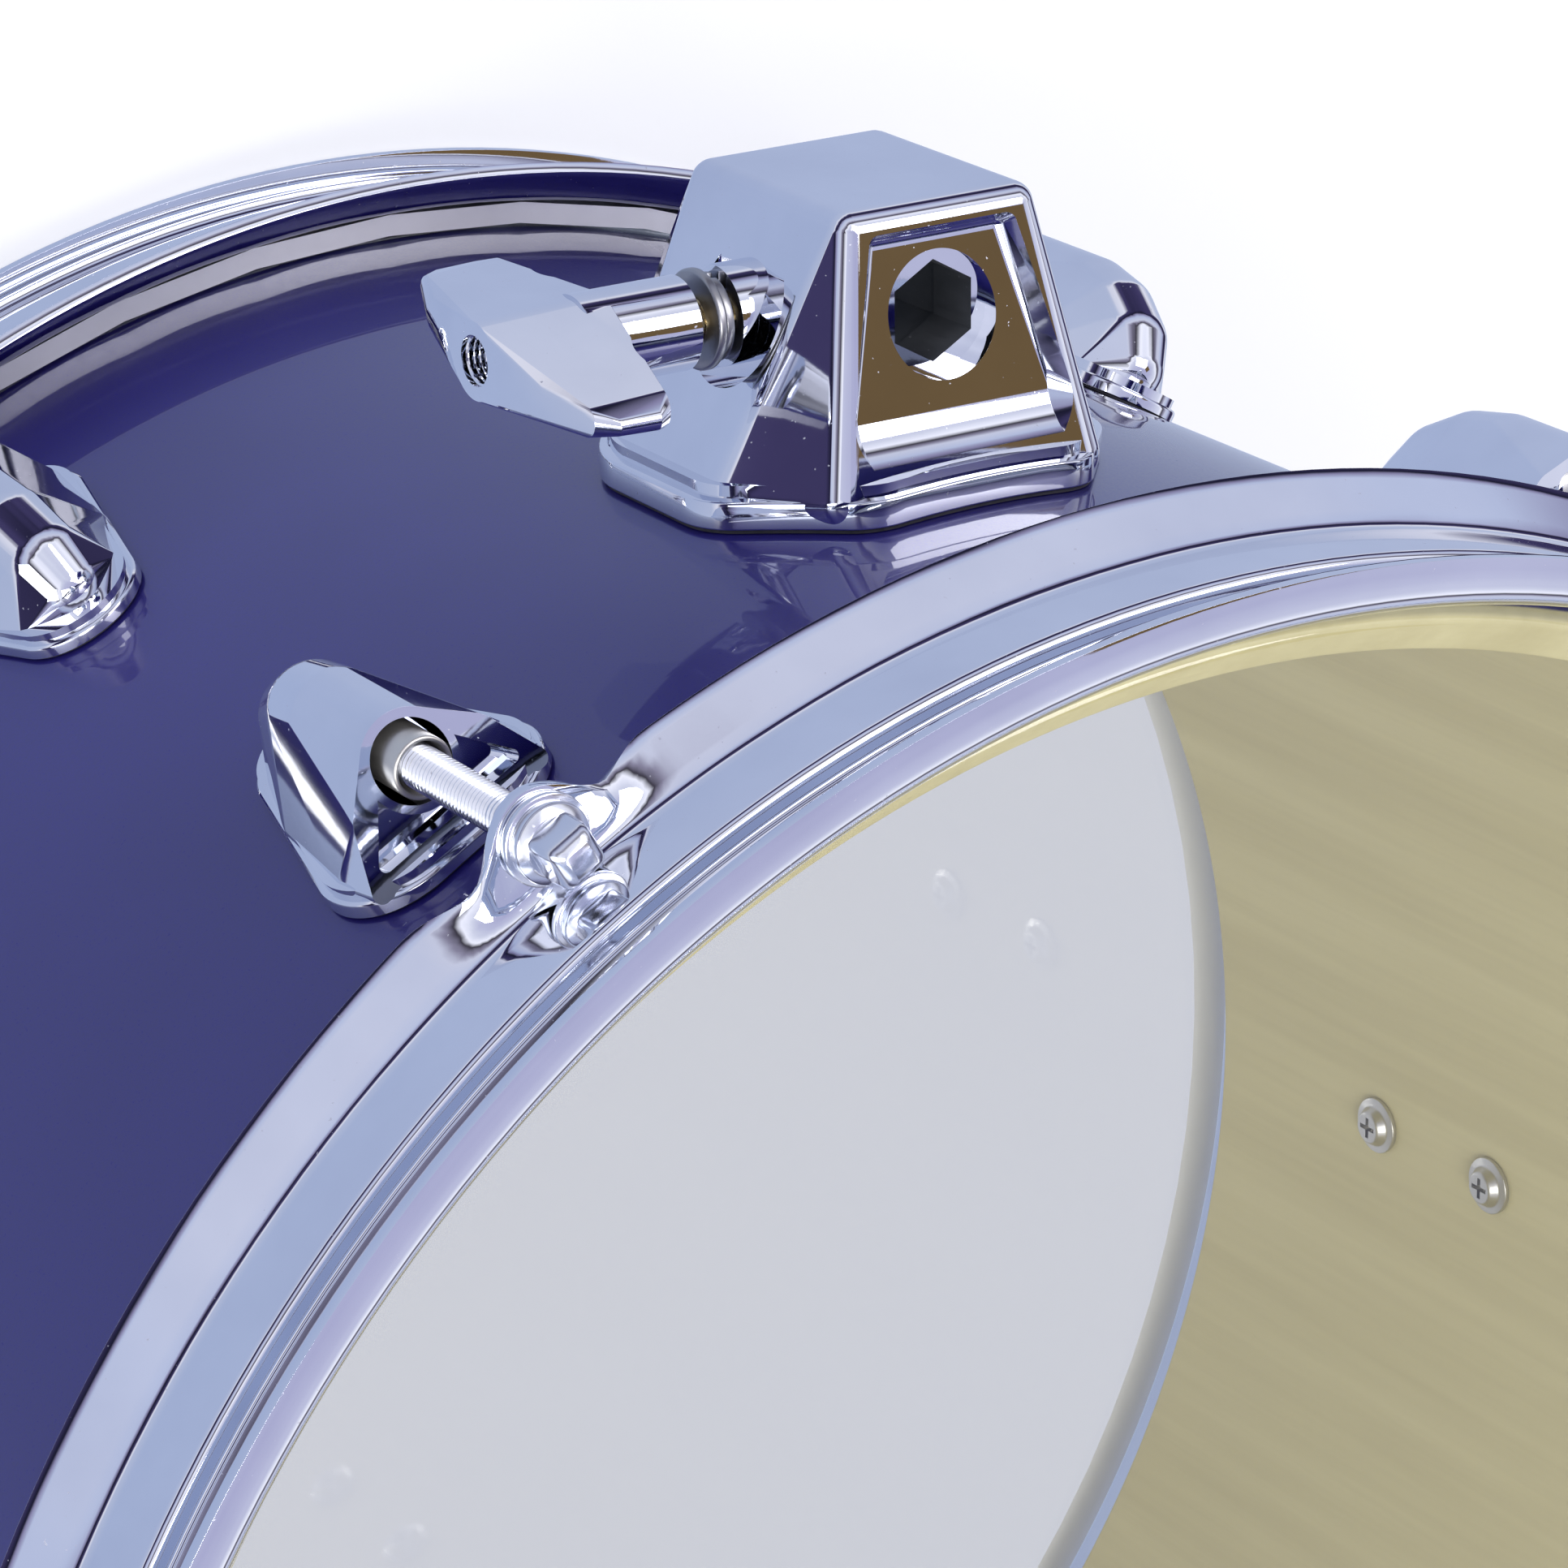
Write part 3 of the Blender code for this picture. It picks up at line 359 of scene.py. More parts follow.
def lacquerFinish():
    # outside: violet lacquer with a very fine sparkle under a clear coat; inside and edges: maple plies
    finish, tree, shader, place = newFinish("violetLacquer")
    sparkle = noise(place, 2600.0, 2.0, 0.7)
    drift = noise(place, 9.0)
    glints = sparkle.stage(0.60, 0.78)
    colour = ramp(drift * 0.5 + sparkle * 0.5, (0.30, (0.007, 0.004, 0.100)), (0.55, (0.011, 0.007, 0.145)),
                  (0.80, (0.026, 0.020, 0.220)))
    feed(tree, shader.inputs["Base Color"], colour)
    feed(tree, shader.inputs["Metallic"], 0.25 + glints * 0.45)
    feed(tree, shader.inputs["Roughness"], 0.34 + sparkle * 0.16)
    shader.inputs["Coat Weight"].default_value = 1.0
    shader.inputs["Coat Roughness"].default_value = 0.03
    shader.inputs["Coat IOR"].default_value = 1.32
    feed(tree, shader.inputs["Normal"], bumped(sparkle, 0.05, 0.0001))
    wood = tree.nodes.new("ShaderNodeBsdfPrincipled")
    spread = tree.nodes.new("ShaderNodeSeparateXYZ")
    feed(tree, spread.inputs[0], place)
    x = Wire(tree, spread.outputs[0])
    y = Wire(tree, spread.outputs[1]) - axisShift
    radius = (x * x + y * y) ** 0.5
    grain = noise(place, 55.0, 5.0, 0.6, (1, 1, 0.05))
    pores = noise(place, 420.0, 3.0, 0.6, (1, 1, 0.03))
    plies = (radius * 5200.0).maths('SINE') * 0.5 + 0.5
    tan = ramp(grain * 0.75 + pores * 0.25, (0.25, (0.45, 0.40, 0.21)), (0.55, (0.56, 0.51, 0.29)),
               (0.80, (0.64, 0.59, 0.36)))
    feed(tree, wood.inputs["Base Color"], tan)
    feed(tree, wood.inputs["Roughness"], 0.48 + pores * 0.2)
    feed(tree, wood.inputs["Normal"], bumped(pores * 0.6 + plies * 0.4, 0.12, 0.0003))
    both = tree.nodes.new("ShaderNodeMixShader")
    feed(tree, both.inputs[0], radius.stage(0.16325, 0.16355))
    tree.links.new(wood.outputs[0], both.inputs[1])
    tree.links.new(shader.outputs[0], both.inputs[2])
    tree.links.new(both.outputs[0], tree.nodes["Material Output"].inputs["Surface"])
    return finish


def filmFinish():
    # clear film: nearly all goes through, and more is reflected the flatter it is seen
    finish, tree, shader, place = newFinish("clearFilm")
    haze = noise(place, 14.0)
    tint = ramp(haze, (0.3, (0.90, 0.91, 0.93)), (0.7, (0.96, 0.96, 0.97)))
    feed(tree, shader.inputs["Base Color"], tint)
    shader.inputs["Metallic"].default_value = 1.0
    feed(tree, shader.inputs["Roughness"], 0.02 + haze * 0.02)
    clear = tree.nodes.new("ShaderNodeBsdfTransparent")
    clear.inputs[0].default_value = (0.985, 0.985, 0.975, 1)
    facing = tree.nodes.new("ShaderNodeLayerWeight")
    facing.inputs["Blend"].default_value = 0.5
    slant = Wire(tree, facing.outputs["Facing"])
    both = tree.nodes.new("ShaderNodeMixShader")
    feed(tree, both.inputs[0], 0.045 + (slant ** 5.0) * 0.9)
    tree.links.new(clear.outputs[0], both.inputs[1])
    tree.links.new(shader.outputs[0], both.inputs[2])
    tree.links.new(both.outputs[0], tree.nodes["Material Output"].inputs["Surface"])
    return finish


def rubberFinish():
    finish, tree, shader, place = newFinish("rubberGasket")
    grain = noise(place, 700.0, 4.0)
    black = ramp(grain, (0.3, (0.012, 0.012, 0.020)), (0.8, (0.035, 0.033, 0.045)))
    feed(tree, shader.inputs["Base Color"], black)
    feed(tree, shader.inputs["Roughness"], 0.45 + grain * 0.25)
    feed(tree, shader.inputs["Normal"], bumped(grain, 0.2, 0.0002))
    return finish


chromeFinish = plating("chromePlate", (0.82, 0.84, 0.90), (0.74, 0.76, 0.83), 0.035)
rodChrome = plating("rodChrome", (0.82, 0.84, 0.90), (0.72, 0.74, 0.80), 0.16)
brightZinc = plating("brightZinc", (0.66, 0.65, 0.60), (0.50, 0.49, 0.45), 0.26, 0.9)
creamZinc = plating("creamZinc", (0.80, 0.77, 0.70), (0.66, 0.64, 0.58), 0.34, 0.6)
yellowZinc = plating("yellowZinc", (0.62, 0.50, 0.26), (0.42, 0.34, 0.20), 0.24, 0.6)
washerSteel = plating("washerSteel", (0.52, 0.52, 0.53), (0.36, 0.36, 0.37), 0.30, 1.2)
castGrey = plating("castGrey", (0.30, 0.31, 0.32), (0.17, 0.18, 0.19), 0.55, 1.5)
satinAlloy = plating("satinAlloy", (0.72, 0.72, 0.74), (0.60, 0.60, 0.62), 0.34, 1.0)
lacquer = lacquerFinish()
clearFilm = filmFinish()
gasketRubber = rubberFinish()
print("finishes made")


def dressed(piece, finish, slotName, body, *stands):
    if finish:
        piece.data.materials.clear()
        piece.data.materials.append(finish)
    piece.data.transform(Matrix.Translation((0, axisShift, 0)))
    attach(piece, body)
    if stands:
        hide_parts(*stands)
    return piece


# shell
shellSizes = {"steps": 288, "edgeRound": 0.0020, "edgeDrop": 0.0052, "ventRadius": 0.0067}


def makeShell():
    s = shellSizes
    outer, inner = drum["shellRadius"], drum["shellRadius"] - drum["shellWall"]
    top, bottom = drum["shellTop"], drum["shellBottom"]
    peak = outer - s["edgeRound"]
    upper = filleted([(inner, top - s["edgeDrop"] - 0.004), (inner, top - s["edgeDrop"]), (peak, top),
                      (outer, top - s["edgeRound"]), (outer, top - 0.010)], [0.0010, 0.0010, 0.0012])
    lower = [(r, bottom + top - z) for r, z in reversed(upper)]
    shell = turnedPiece("shell_dressed", upper + lower, s["steps"])
    middle = (top + bottom) / 2
    cut(shell, rod("ventBore", (0, inner - 0.01, middle), (0, outer + 0.01, middle), s["ventRadius"]))
    dressed(smoothed(shell, 30), lacquer, "violet_lacquer", "drum", "shell")
    print("shell")


# hoops
hoopSizes = {
    "lipRadius": 0.1718, "wallRadius": 0.1669, "skirtRadius": 0.1699, "flangeRadius": 0.1755,
    "top": 0.0268, "step": 0.0184, "bend": 0.0074, "edge": 0.0006,
    "padHeight": 0.0060, "padReach": 0.1825, "padHalf": 0.0056, "noseHalf": 0.0112, "earSpread": 0.0185,
    "hole": 0.0032, "steel": 0.0016, "foldAngles": ((14, 21.0), (48, 18.0), (14, 21.0)),
}


def makeHoops():
    h = hoopSizes
    outline = filleted(
        [(h["lipRadius"], h["top"]), (h["wallRadius"], h["top"]), (h["wallRadius"], h["step"]),
         (h["skirtRadius"], h["step"]), (h["skirtRadius"], h["bend"]), (h["flangeRadius"], h["edge"])],
        [0.0016, 0.0008, 0.0016, 0.0032], 5)
    flange = [outline[-2], outline[-1]]
    outline = outline[:-1] + [
        (flange[0][0] + (flange[1][0] - flange[0][0]) * k / 5,
         flange[0][1] + (flange[1][1] - flange[0][1]) * k / 5)
        for k in range(1, 6)]
    clearSelection()
    bpy.ops.mesh.primitive_plane_add(size=0.001, location=(outline[0][0], 0, outline[0][1]))
    hoop = settled(named("batter_hoop_dressed"))
    bpy.ops.object.mode_set(mode='EDIT')
    bpy.ops.mesh.select_all(action='SELECT')
    bpy.ops.mesh.merge(type='CENTER')
    for (r0, z0), (r1, z1) in zip(outline, outline[1:]):
        bpy.ops.mesh.extrude_region_move(TRANSFORM_OT_translate={"value": (r1 - r0, 0, z1 - z0)})
    finishEdit()
    hoop.rotation_euler = (0, 0, math.radians(30))
    settled(hoop)
    bpy.ops.object.mode_set(mode='EDIT')
    bpy.ops.mesh.select_all(action='SELECT')
    for steps, degrees in h["foldAngles"]:
        bpy.ops.mesh.spin(steps=steps, angle=math.radians(degrees), center=(0, 0, 0), axis=(0, 0, 1))
    shapeEar(hoop)
    # the sixth with its ear is repeated round the ring
    bpy.ops.mesh.select_all(action='SELECT')
    for k in range(5):
        bpy.ops.mesh.duplicate()
        finishEdit()
        bpy.ops.object.mode_set(mode='EDIT')
        turnSelected(hoop, math.radians(60))
    finishEdit()
    outward(hoop, 0.00002)
    facesAway(hoop)
    thick = hoop.modifiers.new("sheet", 'SOLIDIFY')
    thick.thickness = h["steel"]
    thick.offset = -1.0
    thick.use_even_offset = True
    thick.use_quality_normals = True
    applied(hoop)
    circle = drum["rodCircle"]
    holes = joined("earHoles", [
        rod("earHole", radialPoint(turn, circle, -0.01), radialPoint(turn, circle, 0.012), h["hole"], 32)
        for turn in lugTurns])
    cut(hoop, holes)
    rounded(hoop, 0.00035, 2, 55)
    smoothed(hoop, 40)
    other = hoop.copy()
    other.data = hoop.data.copy()
    other.name = "resonant_hoop_dressed"
    bpy.context.scene.collection.objects.link(other)
    hoop.data.transform(batterSide)
    other.data.transform(resonantSide)
    dressed(hoop, chromeFinish, "chrome", "drum", "batter_hoop")
    dressed(other, chromeFinish, "chrome", "drum", "resonant_hoop")
    print("hoops")


def radialPoint(turn, radius, z):
    return (radius * math.cos(turn), radius * math.sin(turn), z)


def turnSelected(piece, angle):
    mesh = bmesh.from_edit_mesh(piece.data)
    picked = [v for v in mesh.verts if v.select]
    bmesh.ops.rotate(mesh, cent=(0, 0, 0), matrix=Matrix.Rotation(angle, 3, 'Z'), verts=picked)
    bmesh.update_edit_mesh(piece.data)


def shapeEar(hoop):
    # the flange is pressed flat and drawn out into a rounded pad round the rod's hole
    h = hoopSizes
    slope = (h["flangeRadius"] - h["skirtRadius"]) / (h["bend"] - h["edge"])
    root = h["skirtRadius"] + (h["bend"] - h["padHeight"]) * slope
    mesh = bmesh.from_edit_mesh(hoop.data)
    for point in mesh.verts:
        radius, turn = math.hypot(point.co.x, point.co.y), math.atan2(point.co.y, point.co.x)
        across = abs(turn) * radius
        if point.co.z >= h["padHeight"] or across > h["earSpread"]:
            continue
        flat = min(1.0, (h["earSpread"] - across) / (h["earSpread"] - h["padHalf"]))
        flat = flat * flat * (3 - 2 * flat)
        nose = max(0.0, 1 - (across / h["noseHalf"]) ** 2) ** 2
        stretch = 1 + nose * (h["padReach"] - h["flangeRadius"]) / (h["flangeRadius"] - root)
        radius = root + (radius - root) * stretch
        point.co = (radius * math.cos(turn), radius * math.sin(turn),
                    point.co.z + (h["padHeight"] - point.co.z) * flat)
    bmesh.update_edit_mesh(hoop.data)


def facesAway(piece):
    # on an open sheet the skirt's faces must look away from the axis
    skirt = [f for f in piece.data.polygons if abs(f.normal.z) < 0.2 and f.center.z < 0.017]
    lean = sum(f.normal.x * f.center.x + f.normal.y * f.center.y for f in skirt)
    if lean < 0:
        editing(piece)
        bpy.ops.mesh.select_all(action='SELECT')
        bpy.ops.mesh.flip_normals()
        finishEdit()


# heads
headSizes = {
    "film": 0.00025, "drop": 0.0204, "edge": 0.1618, "collar": 0.16455, "foot": 0.0088,
    "bend": 0.0026, "steps": 288,
}


def makeHeads():
    s = headSizes
    t, top, edge, collar = s["film"], s["drop"] + s["film"], s["edge"], s["collar"]
    bend = top - s["bend"]
    upper = filleted([(0.0, top), (edge, top), (collar, bend), (collar, s["foot"])], [0.0022, 0.0020], 7)
    under = filleted([(0.0, top - t), (edge - t * 0.4, top - t), (collar - t, bend - t * 0.4),
                      (collar - t, s["foot"])], [0.0020, 0.0018], 7)
    middle = (0.03, 0.06, 0.09, 0.12, 0.15)
    upper = [upper[0]] + [(r, top) for r in middle] + upper[1:]
    under = [under[0]] + [(r, top - t) for r in middle] + under[1:]
    film = turnedPiece("batter_head_dressed", upper + list(reversed(under)), s["steps"], False)
    smoothed(film, 30)
    other = film.copy()
    other.data = film.data.copy()
    other.name = "resonant_head_dressed"
    bpy.context.scene.collection.objects.link(other)
    film.data.transform(batterSide)
    other.data.transform(resonantSide)
    dressed(film, clearFilm, "clear_film", "drum", "batter_head")
    dressed(other, clearFilm, "clear_film", "drum", "resonant_head")
    print("heads")


# tension rods, each with its collar and washer
rodSizes = {
    "radius": 0.0027, "root": 0.00225, "pitch": 0.0008, "tip": 0.0455, "neck": 0.0012,
    "washer": 0.0056, "washerTop": 0.0075, "collar": 0.0049, "headFoot": 0.0089,
    "headWidth": 0.0064, "headTop": 0.0151,
}


def threaded(name, radius, root, pitch, low, high, sides=20):
    # one V of the thread is drawn and wound up by the Screw modifier
    turns = int(round((high - low) / pitch))
    clearSelection()
    bpy.ops.mesh.primitive_plane_add(size=0.0001, location=(root, 0, low))
    piece = settled(named(name))
    editing(piece)
    bpy.ops.mesh.select_all(action='SELECT')
    bpy.ops.mesh.merge(type='CENTER')
    for dr, dz in ((radius - root, pitch * 0.42), (0, pitch * 0.12),
                   (root - radius, pitch * 0.42), (0, pitch * 0.04)):
        bpy.ops.mesh.extrude_region_move(TRANSFORM_OT_translate={"value": (dr, 0, dz)})
    finishEdit()
    wind = piece.modifiers.new("wind", 'SCREW')
    wind.axis = 'Z'
    wind.screw_offset = pitch
    wind.iterations = turns
    wind.steps = sides
    wind.render_steps = sides
    wind.use_merge_vertices = True
    wind.merge_threshold = 0.00001
    applied(piece)
    editing(piece)
    bpy.ops.mesh.select_all(action='SELECT')
    bpy.ops.mesh.remove_doubles(threshold=0.00001)
    bpy.ops.mesh.select_all(action='DESELECT')
    bpy.ops.mesh.select_mode(type='EDGE')
    bpy.ops.mesh.select_non_manifold()
    bpy.ops.mesh.edge_face_add()
    bpy.ops.mesh.select_all(action='SELECT')
    bpy.ops.mesh.normals_make_consistent(inside=False)
    finishEdit()
    return piece


def makeRods():
    s = rodSizes
    thread = threaded("rodThread", s["radius"], s["root"], s["pitch"], -s["tip"], s["neck"])
    collar = turnedPiece("rodCollar", filleted(
        [(0.0, s["headFoot"] + 0.0006), (s["collar"] - 0.0012, s["headFoot"] + 0.0006),
         (s["collar"], s["headFoot"] - 0.0002), (s["collar"], s["washerTop"]), (0.0, s["washerTop"])],
        [0.0006, 0.0005, 0.0002], 3), 48, False)
    washer = turnedPiece("rodWasher", filleted(
        [(0.0, s["washerTop"]), (s["washer"], s["washerTop"]), (s["washer"], 0.0063), (0.0, 0.0063)],
        [0.0003, 0.0003], 2), 48, False)
    wide = s["headWidth"]
    low, high = s["headFoot"], s["headTop"]
    head = block("rodHead", (0, 0, (low + high) / 2), (wide, wide, high - low))
    editing(head)
    pick(head, lambda c: c.z > high - 0.0001)
    bpy.ops.transform.resize(value=(0.92, 0.92, 1), center_override=(0, 0, high))
    bpy.ops.mesh.bevel(offset=0.0023, segments=8, affect='EDGES')
    finishEdit()
    rounded(head, 0.0010, 4, 40)
    core = rod("rodCore", (0, 0, s["neck"] - 0.004), (0, 0, s["washerTop"]), s["root"] + 0.0002, 32)
    master = joined("tension_rod", [thread, core, washer, collar, head])
    smoothed(master, 32)
    master.data.transform(Matrix.Translation((drum["rodCircle"], 0, 0)))
    for piece, node in copiesOf(master, "tension_rod"):
        dressed(piece, rodChrome, "chrome", node, node)
    print("tension rods")


# lug nuts
nutSizes = {"radius": 0.0039, "bore": 0.0031, "front": 0.0205, "length": 0.0230}


def makeNuts():
    s = nutSizes
    front, back = -s["front"], -(s["front"] + s["length"])
    outline = filleted(
        [(s["bore"], front - 0.0012), (s["bore"] + 0.0002, front), (s["radius"], front),
         (s["radius"], back), (s["bore"], back)], [0.0003, 0.0006, 0.0003], 3)
    nut = turnedPiece("lug_nut", outline, 48)
    smoothed(nut, 32)
    nut.data.transform(Matrix.Translation((drum["rodCircle"], 0, 0)))
    for piece, node in copiesOf(nut, "lug_nut"):
        dressed(piece, creamZinc, "zinc_plate", "drum", node)
    print("lug nuts")


# lugs, in their own frame: x away from the drum's axis, y along the shell, z from the flange plane
lugSizes = {
    "mouth": -0.0183, "tail": -0.0633, "plateIn": 0.1645, "plateStep": 0.1661, "plateTop": 0.1674,
    "tube": 0.0060, "tunnel": 0.0050, "rodBore": 0.0031,
    "screws": (-0.0266, -0.0550), "screwHead": 0.0046, "inner": 0.1566,
    # side corners: lift from the foot, distance aside, height, radius
    "sides": ((0.0004, 0.0122, -0.0200, 0.0012), (0.0075, 0.0086, -0.0225, 0.0018),
              (0.0, 0.0132, -0.0280, 0.0012), (0.0, 0.0110, -0.0440, 0.0012),
              (0.0, 0.0072, -0.0540, 0.0012)),
    # the back's line: drop from the rod's axis, height, radius
    "back": ((0.0, -0.0215, 0.0062), (0.0, -0.0410, 0.0062), (0.0012, -0.0470, 0.0062),
             (0.0040, -0.0520, 0.0060), (0.0074, -0.0550, 0.0052)),
    "mouthLow": (0.1660, 0, -0.0203), "mouthHigh": (0.1825, 0, -0.0252), "pocketDeep": -0.0046,
    "tunnelEnd": -0.0440, "boreEnd": -0.0462,
}


def ball(name, centre, radius, sides=32, rings=16):
    clearSelection()
    bpy.ops.mesh.primitive_uv_sphere_add(segments=sides, ring_count=rings, radius=radius, location=centre)
    return settled(named(name))


def hulled(name, pieces):
    piece = joined(name, pieces)
    editing(piece)
    bpy.ops.mesh.select_all(action='SELECT')
    bpy.ops.mesh.delete(type='EDGE_FACE')
    bpy.ops.mesh.select_all(action='SELECT')
    bpy.ops.mesh.convex_hull()
    bpy.ops.mesh.select_all(action='SELECT')
    bpy.ops.mesh.dissolve_limited(angle_limit=math.radians(0.5))
    finishEdit()
    return piece


def block(name, centre, size, turn=(0, 0, 0)):
    clearSelection()
    bpy.ops.mesh.primitive_cube_add(size=1, location=centre, rotation=turn, scale=size)
    return settled(named(name))


def pegPlate(name, pegs, low, high, grow=0.0):
    # the hull of round pegs that stand away from the shell, each at (across, along, radius)
    return hulled(name, [rod("peg", (low, y, z), (high, y, z), r + grow, 64) for y, z, r in pegs])


def mirroredPegs(*pegs):
    return [(side * y, z, r) for y, z, r in pegs for side in ((1, -1) if y else (1,))]


def wrapped(plate, inner, outer, low, high):
    # keeps what lies between two radii of the drum
    if outer:
        cut(plate, rod("outerWrap", (0, 0, low - 0.02), (0, 0, high + 0.02), outer, 360), 'INTERSECT')
    return cut(plate, rod("innerWrap", (0, 0, low - 0.02), (0, 0, high + 0.02), inner, 360))


def evened(piece):
    # flat faces stay flat in the reflections
    step = piece.modifiers.new("even", 'WEIGHTED_NORMAL')
    step.keep_sharp = True
    step.weight = 80
    return applied(piece)


def lugPegs():
    s = lugSizes
    return mirroredPegs((0.0053, s["mouth"] - 0.0107, 0.0107), (0.0, s["tail"] + 0.0098, 0.0098))


def makeLugs():
    s = lugSizes
    middle = drum["rodCircle"]
    plate = pegPlate("lugPlate", lugPegs(), 0.1580, s["plateTop"], -0.0009)
    lower = rounded(pegPlate("lugLower", lugPegs(), 0.1580, s["plateStep"]), 0.0006, 3, 50)
    cut(plate, lower, 'UNION')
    wrapped(plate, s["plateIn"], None, s["tail"], s["mouth"])
    foot = s["plateTop"] - 0.0008
    sides = [ball("corner", (foot + lift, side * y, z), r, 24, 12)
             for side in (1, -1) for lift, y, z, r in s["sides"]]
    body = hulled("lugBody", sides + [
        ball("back", (middle - drop, 0, z), r, 64, 32) for drop, z, r in s["back"]])
    rounded(body, 0.0012, 4, 22)
    low, high = Vector(s["mouthLow"]), Vector(s["mouthHigh"])
    away = Vector((low.z - high.z, 0, high.x - low.x)).normalized()
    lean = math.atan2(away.x, away.z)
    cut(body, block("mouthCut", (low + high) / 2 + away * 0.02, (0.06, 0.06, 0.04), (0, lean, 0)))
    pocketRods = []
    for x, y, r in ((foot + 0.0026, 0.0098, 0.0009), (foot + 0.0026, -0.0098, 0.0009),
                    (middle - 0.0002, 0.0, 0.0043)):
        seat = Vector((x, y, low.z + (high.z - low.z) * (x - low.x) / (high.x - low.x)))
        pocketRods.append(rod("pocketRod", seat + away * 0.004, seat + away * s["pocketDeep"], r, 32))
    pocket = hulled("lugPocket", pocketRods)
    cut(pocket, rod("tubeKept", (middle, 0, -0.05), (middle, 0, 0.01), s["tube"], 64))
    cut(body, pocket)
    cut(body, rod("tunnel", (middle, 0, s["tunnelEnd"]), (middle, 0, 0.0), s["tunnel"], 64))
    boreTop = (middle, 0, s["tunnelEnd"] + 0.001)
    cut(body, rod("rodBore", (middle, 0, s["boreEnd"]), boreTop, s["rodBore"], 48))
    wrapped(body, s["plateIn"] + 0.0004, None, s["tail"], s["mouth"])
    cut(body, plate, 'UNION')
    outward(body, 0.00001)
    rounded(body, 0.0007, 3, 28)
    smoothed(body, 38)
    master = evened(body)
    for piece, node in copiesOf(master, "lug"):
        dressed(piece, chromeFinish, "chrome", "drum", node)
    gasket = pegPlate("lugGasket", lugPegs(), 0.1580, 0.1700, -0.0004)
    wrapped(gasket, 0.1641, 0.1644, s["tail"], s["mouth"])
    for piece, node in copiesOf(smoothed(gasket), "lug_gasket"):
        dressed(piece, gasketRubber, "rubber", "drum")
    for piece, node in copiesOf(lugScrews(), "lug_screws"):
        dressed(piece, brightZinc, "zinc_plate", "drum")
    print("lugs")


def screwHead(name, radius, height):
    # a flanged pan head with a cross recess, its top towards +Z and its seat at z = 0
    head = turnedPiece(name, filleted(
        [(0.0, height), (radius * 0.55, height), (radius * 0.72, height * 0.42), (radius, height * 0.30),
         (radius, 0.0), (0.0, 0.0)], [0.0006, 0.0005, 0.0002, 0.0002], 4), 48, False)
    for turn in (0, math.pi / 2):
        cross = (radius * 0.75, radius * 0.16, height * 1.1)
        cut(head, block("recess", (0, 0, height), cross, (0, 0, turn)))
    return smoothed(head, 32)


def lugScrews():
    s = lugSizes
    heads = []
    for z in s["screws"]:
        head = screwHead("lugScrew", s["screwHead"], 0.0024)
        head.data.transform(Matrix.Translation((s["inner"], 0, z)) @ Matrix.Rotation(-math.pi / 2, 4, 'Y'))
        heads.append(head)
    return joined("lugScrewPair", heads)


# mount bracket, in its own frame: x away from the drum's axis, y along the wing bolt, z up the drum
bracketPlace = Matrix.Translation((0, 0, drum["batterFlange"])) @ Matrix.Rotation(-math.pi / 2, 4, 'Z')
bracketSizes = {
    "front": -0.0348, "back": -0.0952, "plateIn": 0.1646, "plateStep": 0.1682, "plateOut": 0.1698,
    "low": 0.1686, "top": 0.2010, "topHalf": 0.0143, "topFront": -0.0444, "topBack": -0.0804,
    "frontLow": -0.0374, "backLow": -0.0926, "round": 0.0030,
    "socket": 0.1865, "socketCorner": 0.00658, "recess": 0.00795, "recessDepth": 0.0022,
    "pocket": 0.0030, "boss": 0.0064, "bossEnd": 0.0232, "boltHole": 0.0033, "boltZ": -0.0598,
}


def bracketPegs():
    s = bracketSizes
    return mirroredPegs(
        (0.0120, s["front"] - 0.0085, 0.0085), (0.0175, -0.0570, 0.0130),
        (0.0175, -0.0730, 0.0130), (0.0120, s["back"] + 0.0085, 0.0085))


def faceSeat(x, y):
    # a point on the bracket's leaning front face
    s = bracketSizes
    share = (x - s["low"]) / (s["top"] - s["low"])
    return Vector((x, y, s["frontLow"] + (s["topFront"] - s["frontLow"]) * share))


def frontPocket():
    # a shallow tray whose floor sweeps out in a broad cove at the foot
    s = bracketSizes
    away = Vector((s["frontLow"] - s["topFront"], 0, s["top"] - s["low"])).normalized()
    seat = faceSeat(0.1762, 0) + away * (0.0078 - s["pocket"])
    pieces = [rod("cove", seat + Vector((0, -0.0142, 0)), seat + Vector((0, 0.0142, 0)), 0.0078, 96)]
    for side in (-1, 1):
        pieces += [ball("trayCorner", faceSeat(x, side * y) + away * lift, r, 24, 12) for x, y, lift, r in (
            (0.1962, 0.0088, 0.0016 - s["pocket"], 0.0016), (0.1976, 0.0108, 0.0030, 0.0016),
            (0.1745, 0.0158, 0.0030, 0.0024))]
    tray = hulled("frontPocket", pieces)
    editing(tray)
    bpy.ops.mesh.select_all(action='SELECT')
    bpy.ops.mesh.dissolve_limited(angle_limit=math.radians(3.0))
    finishEdit()
    return rounded(tray, 0.0014, 5, 18)


def carved(piece, tool, finish=None):
    # a cut whose new faces can take their own finish
    if finish:
        tool.data.materials.append(finish)
    step = piece.modifiers.new("carve", 'BOOLEAN')
    step.operation = 'DIFFERENCE'
    step.solver = 'EXACT'
    step.material_mode = 'TRANSFER'
    step.object = tool
    applied(piece)
    bpy.data.objects.remove(tool)
    return piece


